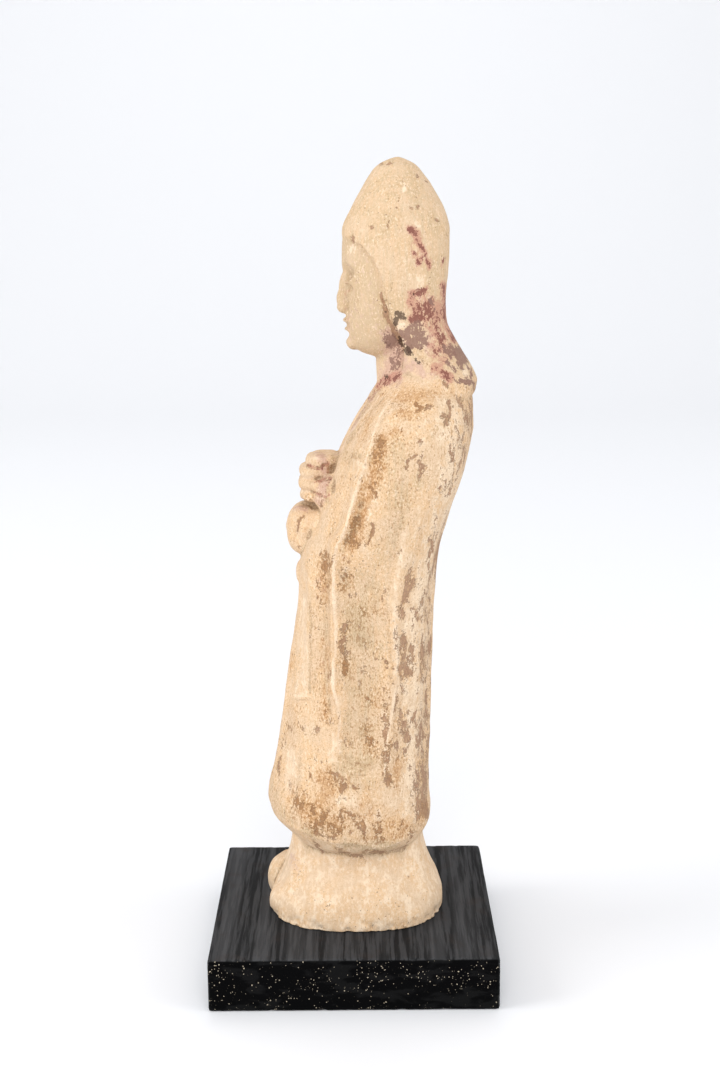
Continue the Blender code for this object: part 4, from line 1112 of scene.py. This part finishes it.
def weather(mesh):
    """Wears, stains and paints the skin, marks painted shade in its creases and painted highlight and shade
    along its edges, and sinks it where the slip is gone.
    """
    points, normals = skin_of(mesh)
    across = points[:, 0]
    left = soft_step(across, -0.0002, 0.0002)
    wander = np.stack([unevenness(points, 0.006, seed) for seed in (21, 22)], axis=1)
    wander += 2.2 * np.stack([unevenness(points, 0.0026, seed) for seed in (26, 27)], axis=1)
    seen = photo_places(points) + 1.1 * wander
    mirrored = photo_places(points * (-1.0, 1.0, 1.0)) + OTHER_SIDE_WANDER * wander + OTHER_SIDE_SHIFT
    on_left = left * soft_step(normals[:, 0], 0.0, 0.08)
    on_right = (1 - left) * soft_step(-normals[:, 0], 0.10, 0.45)

    def marked(marks, softness=0.65):
        return on_left * strokes(seen, marks, softness) + on_right * strokes(mirrored, marks, softness)

    def scattered(all_over, in_lumps, in_patches):
        """Wear that follows the clay's own unevenness."""
        return all_over + in_lumps * broad + in_patches * patchy

    def edged(marks):
        """Thin strokes that keep to the edges of the cloth and hardly wander."""
        straight = photo_places(points) + 0.35 * wander
        other = photo_places(points * (-1.0, 1.0, 1.0)) + 0.6 * wander
        left_edges = on_left * strokes(straight, marks, 0.35, 0.7)
        return left_edges + on_right * strokes(other, marks, 0.35, 0.7)

    elsewhere = 1 - on_left - on_right
    height = (points[:, 2] - solid_low[2]) / (solid_high[2] - solid_low[2])
    broad = unevenness(points, 0.020, 23)
    patchy = unevenness(points * (1.0, 1.0, 0.45), 0.006, 24)
    on_cloak = soft_step(height, 0.13, 0.17) * (1 - soft_step(height, 0.71, 0.74))
    on_hood = soft_step(height, 0.71, 0.74)
    behind = soft_step(normals[:, 1], 0.15, 0.55)
    in_front = soft_step(-normals[:, 1], 0.15, 0.55)
    depth = points[:, 1] / (solid_high[2] - solid_low[2])
    hood_edge = np.interp(height, *zip(*HOOD_EDGE))
    head = soft_step(height, 0.735, 0.765)
    bare_face = head * (1 - soft_step(depth - hood_edge, -0.006, 0.004))
    face = bare_face * soft_step(height, 0.750, 0.765)
    on_skirt = 1 - soft_step(height, 0.10, 0.13)
    smooth = np.maximum(face, WIPED_SMOOTH * np.maximum(on_hood, on_skirt))
    back_wear = behind * on_cloak * scattered(*BACK_WEAR)
    back_wear *= 1 - 0.70 * on_left * (1 - soft_step(normals[:, 1], 0.55, 0.85))
    front_wear = in_front * on_cloak * scattered(*FRONT_WEAR) * elsewhere
    worn = np.maximum(0.86 * marked(BARE_CLAY), marked(SPECKLED, 1.0) * (1.0 + 0.35 * patchy))
    worn = np.maximum(worn, np.maximum(back_wear, front_wear))
    # Painted shade: points sunk below their neighbours, in creases, are marked so that the slip is darkened
    # there.
    hollow = (hollows(mesh, points, normals) / FULL_HOLLOW).clip(-1.0, 1.0)
    hollow *= 1 - 0.85 * np.maximum(head, bare_face) * (1 - 0.6 * face)
    neck_back = behind * elsewhere * soft_step(height, 0.73, 0.75) * (1 - soft_step(height, 0.83, 0.86))
    red = np.maximum(marked(RED_PAINT), neck_back * (0.62 + 0.3 * patchy))
    purple = np.maximum(marked(PURPLE_PAINT), neck_back * (0.20 + 0.4 * broad))
    stain = np.maximum(marked(TAN_STAIN, 1.0), elsewhere * on_cloak * (0.25 + 0.35 * broad))
    # Grey dirt, and painted shade where the strokes lie in recesses and under the hem.
    dirt_and_shade = np.maximum(marked(GREY_DIRT_AND_SHADE, 1.0), elsewhere * (0.20 + 0.3 * unevenness(points, 0.03, 25)))
    dirt_and_shade = np.maximum(dirt_and_shade, HOOD_DIRT * on_hood) * (1 - bare_face) + FACE_DIRT * bare_face
    pink = np.maximum(marked(PINK_PAINT, 0.9), FACE_PINK * bare_face)
    # Paler slip, with painted highlight along some ridge crests and painted light on the skirt.
    pale = np.maximum(0.70 * marked(PALE_SLIP_AND_HIGHLIGHT, 1.1), SKIRT_PALENESS * (1 - soft_step(height, 0.11, 0.16)))
    paint(mesh, "wear_dirt_and_shade", worn, dirt_and_shade, 0.5 + 0.5 * hollow)
    paint(mesh, "tint", stain, pale, pink)
    paint(mesh, "paint", red, purple, marked(DARK_CRUST))
    # Painted highlight and painted shade along the edges of the cloth, and how smoothly wiped the skin is.
    paint(mesh, "edges", edged(RUBBED_AND_HIGHLIT_EDGES), edged(DIRTY_AND_SHADED_EDGES), smooth)
    sunk = SLIP_THICKNESS * soft_step(worn, 0.42, 0.58)
    mesh.vertices.foreach_set("co", (points - normals * sunk[:, None]).ravel())
    mesh.update()


slip = Finish("slipped_pottery")
figure = pottery_skin()
if not figure.data.materials:
    figure.data.materials.append(slip.material)
figure.data.polygons.foreach_set("use_smooth", [True] * len(figure.data.polygons))

# The skin takes the solid's own box, so that it neither stands proud of it nor floats.
solid_low, solid_high = (np.array(corner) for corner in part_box("attendant_figure"))
skin_points, _ = skin_of(figure.data)
skin_low, skin_high = skin_points.min(axis=0), skin_points.max(axis=0)
placed = solid_low + (skin_points - skin_low) / (skin_high - skin_low) * (solid_high - solid_low)
figure.data.vertices.foreach_set("co", placed.ravel())
figure.data.update()

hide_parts("attendant_figure")
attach(figure, "root")

weather(figure.data)


def painted(finish, name):
    """The three values stored in one colour attribute."""
    read = finish.node("Attribute", {"attribute_name": name}, output="Color")
    return [finish.node("SeparateColor", {}, {0: read}, output=place) for place in range(3)]


# Colours of the slip, the clay under it, the paints left on it, the dirt, and the painted shade and
# highlight.
CREAM = (0.722, 0.532, 0.358)
WARM_CREAM = (0.745, 0.512, 0.306)
LIGHT_CREAM = (0.870, 0.700, 0.520)
TAN = (0.560, 0.315, 0.140)
DIRT_AND_SHADE_GREY = (0.530, 0.400, 0.250)
BARE = (0.420, 0.235, 0.115)
BARE_GREY = (0.480, 0.305, 0.200)
BARE_DARK_AND_SHADE = (0.255, 0.140, 0.078)
RED = (0.230, 0.085, 0.065)
ROSE = (0.520, 0.250, 0.180)
PURPLE = (0.270, 0.155, 0.120)
PINK = (0.580, 0.370, 0.300)
CRUST = (0.085, 0.050, 0.033)
RUBBED_AND_HIGHLIT = (0.940, 0.770, 0.590)
EDGE_DIRT_AND_SHADE = (0.400, 0.260, 0.145)
SPECK_TINT = (0.66, 0.54, 0.42)
CRUMB_TINT = (0.70, 0.62, 0.55)
GRIT_TINT = (0.72, 0.64, 0.54)
PORE_TINT = (0.80, 0.74, 0.66)

clay_places = slip.node("TexCoord", output="Object")
drawn_out = slip.stretched(clay_places, (1.0, 1.0, 0.40))
wiped = slip.stretched(clay_places, (1.0, 1.0, 0.10))
worn, dirt_and_shade, hollow = painted(slip, "wear_dirt_and_shade")
stain_amount, pale, pink = painted(slip, "tint")
red, purple, crust = painted(slip, "paint")
rubbed_and_highlit, edge_dirt_and_shade, smooth = painted(slip, "edges")

blotches = slip.lumps(clay_places, 0.0080, detail=6.0, roughness=0.62)
mottle = slip.lumps(clay_places, 0.0018, detail=5.0, roughness=0.68)
streaks = slip.lumps(drawn_out, 0.0012, detail=5.0, roughness=0.70)
crumbs = slip.lumps(clay_places, 0.0007, detail=4.0, roughness=0.65)
grit = slip.lumps(clay_places, 0.00045, detail=2.0)
brushed = slip.lumps(wiped, 0.0011, detail=4.0, roughness=0.65)
patches = slip.lumps(slip.stretched(clay_places, (1.0, 1.0, 0.55)), 0.0036, detail=3.0, roughness=0.5)
ragged = patches * 0.30 + mottle * 0.26 + streaks * 0.22 + crumbs * 0.17 + grit * 0.05
fine = slip.lumps(slip.stretched(clay_places, (1.0, 1.0, 0.6)), 0.0006, detail=3.0, roughness=0.6)
dots = slip.step(slip.lumps(clay_places, 0.0009, detail=1.0) + (blotches - 0.5) * 0.6, 0.745, 0.785)


def left_by(amount, noise, sharp=0.07):
    """Where a mark of this strength still covers the skin, with ragged edges."""
    return slip.step(amount * 1.7 + (noise - 0.5) * 7.5, 1.0 - sharp, 1.0 + sharp)


flaked = left_by(worn, ragged)
thinned = left_by(worn * 1.12, ragged * 0.8 + grit * 0.2, 0.12)
stained = stain_amount * 1.1 + (mottle * 0.3 + blotches * 0.2 + streaks * 0.3 + crumbs * 0.2 - 0.5) * 3.8
skin = slip.blend(slip.step(blotches, 0.38, 0.64), CREAM, WARM_CREAM)
# Layers of the slip, from the clay outwards: what shows them, from where to where, share, colour.
for shown, low, high, share, colour in (
    (mottle, 0.50, 0.66, 0.50, LIGHT_CREAM),
    (brushed, 0.50, 0.70, 0.40, LIGHT_CREAM),
    (1 - brushed, 0.52, 0.76, 0.22, TAN),
    (stained, 0.25, 0.85, 0.34, TAN),
    (stained, 0.58, 0.74, 0.46, TAN),
    # Grey dirt, with painted shade from the strokes in the recesses.
    (dirt_and_shade + (blotches + brushed - 1.0) * 1.3, 0.15, 0.85, 0.70, DIRT_AND_SHADE_GREY),
    (pale + (ragged - 0.5) * 5.0, 0.30, 0.55, 0.85, LIGHT_CREAM),
    (pink + (mottle - 0.5) * 1.8, 0.20, 0.80, 0.75, PINK),
    # Painted shade in the creases, with some dirt: grey-beige, and dark brown in the deepest ones.
    (hollow, 0.60, 0.95, 0.55, DIRT_AND_SHADE_GREY),
    (hollow + (crumbs - 0.5) * 0.9, 0.84, 1.04, 0.55, BARE_DARK_AND_SHADE),
    (1 - fine + (blotches - 0.5) * 0.4, 0.58, 0.68, 0.60, LIGHT_CREAM),
):
    skin = slip.blend(slip.step(shown, low, high) * share, skin, colour)
soiling = dirt_and_shade * 0.10 + stain_amount * 0.10 + worn * 0.15
specks = slip.step(fine + soiling + (mottle - 0.5) * 0.5, 0.62, 0.72)
skin = slip.tinted(specks * (0.85 - smooth * 0.65), skin, SPECK_TINT)
skin = slip.blend(dots * 0.70, skin, BARE_DARK_AND_SHADE)
skin = slip.blend(thinned * (0.20 + stain_amount * 0.7), skin, TAN)
# Painted highlight along raised edges and painted shade along sunk ones, over rubbed slip and dirt.
for edge, share, colour in ((rubbed_and_highlit, 0.62, RUBBED_AND_HIGHLIT), (edge_dirt_and_shade, 0.42, EDGE_DIRT_AND_SHADE)):
    along_edge = edge + (mottle - 0.5) * 1.6 + (crumbs - 0.5) * 1.2
    skin = slip.blend(slip.step(along_edge, 0.15, 0.95) * share, skin, colour)
# Clay laid bare: warmer where it is stained, darker in its grit, with crumbs of slip left on it.
bare = slip.blend(slip.step(stain_amount - pale * 0.8 + (blotches - 0.5), -0.1, 0.5), BARE_GREY, BARE)
bare = slip.blend(slip.step(grit * 0.5 + mottle * 0.5, 0.42, 0.62) * -0.5 + 0.5, bare, BARE_DARK_AND_SHADE)
bare = slip.tinted(slip.step(crumbs, 0.40, 0.60) * 0.30, bare, CRUMB_TINT)
left_over = slip.step(crumbs * 0.4 + fine * 0.4 + mottle * 0.2, 0.535, 0.565)
skin = slip.blend(flaked - flaked * left_over * 0.75, skin, bare)
skin = slip.blend(slip.step(red * 1.2 + (mottle - 0.5) * 2.0, 0.25, 0.85) * 0.75, skin, ROSE)
for amount, share, colour in ((red * 0.80, 0.9, RED), (purple * 0.95, 0.9, PURPLE), (crust, 0.85, CRUST)):
    skin = slip.blend(left_by(amount, ragged) * share, skin, colour)
grain = 0.44 - smooth * 0.26
skin = slip.tinted(slip.step(grit, 0.42, 0.62) * grain, skin, GRIT_TINT)
skin = slip.tinted(slip.step(crumbs, 0.46, 0.60) * grain, skin, PORE_TINT)
relief = (1 - flaked) * 0.5 + grit * 0.18 + mottle * 0.25 + brushed * 0.20
slip_bump = slip.node("Bump", {}, {"Strength": 0.9, "Distance": 0.0004, "Height": relief})
set_surface(slip, Base_Color=skin, Roughness=0.80 + grit * 0.12 - flaked * 0.04, Normal=slip_bump)
slip.surface.inputs["Specular IOR Level"].default_value = 0.25
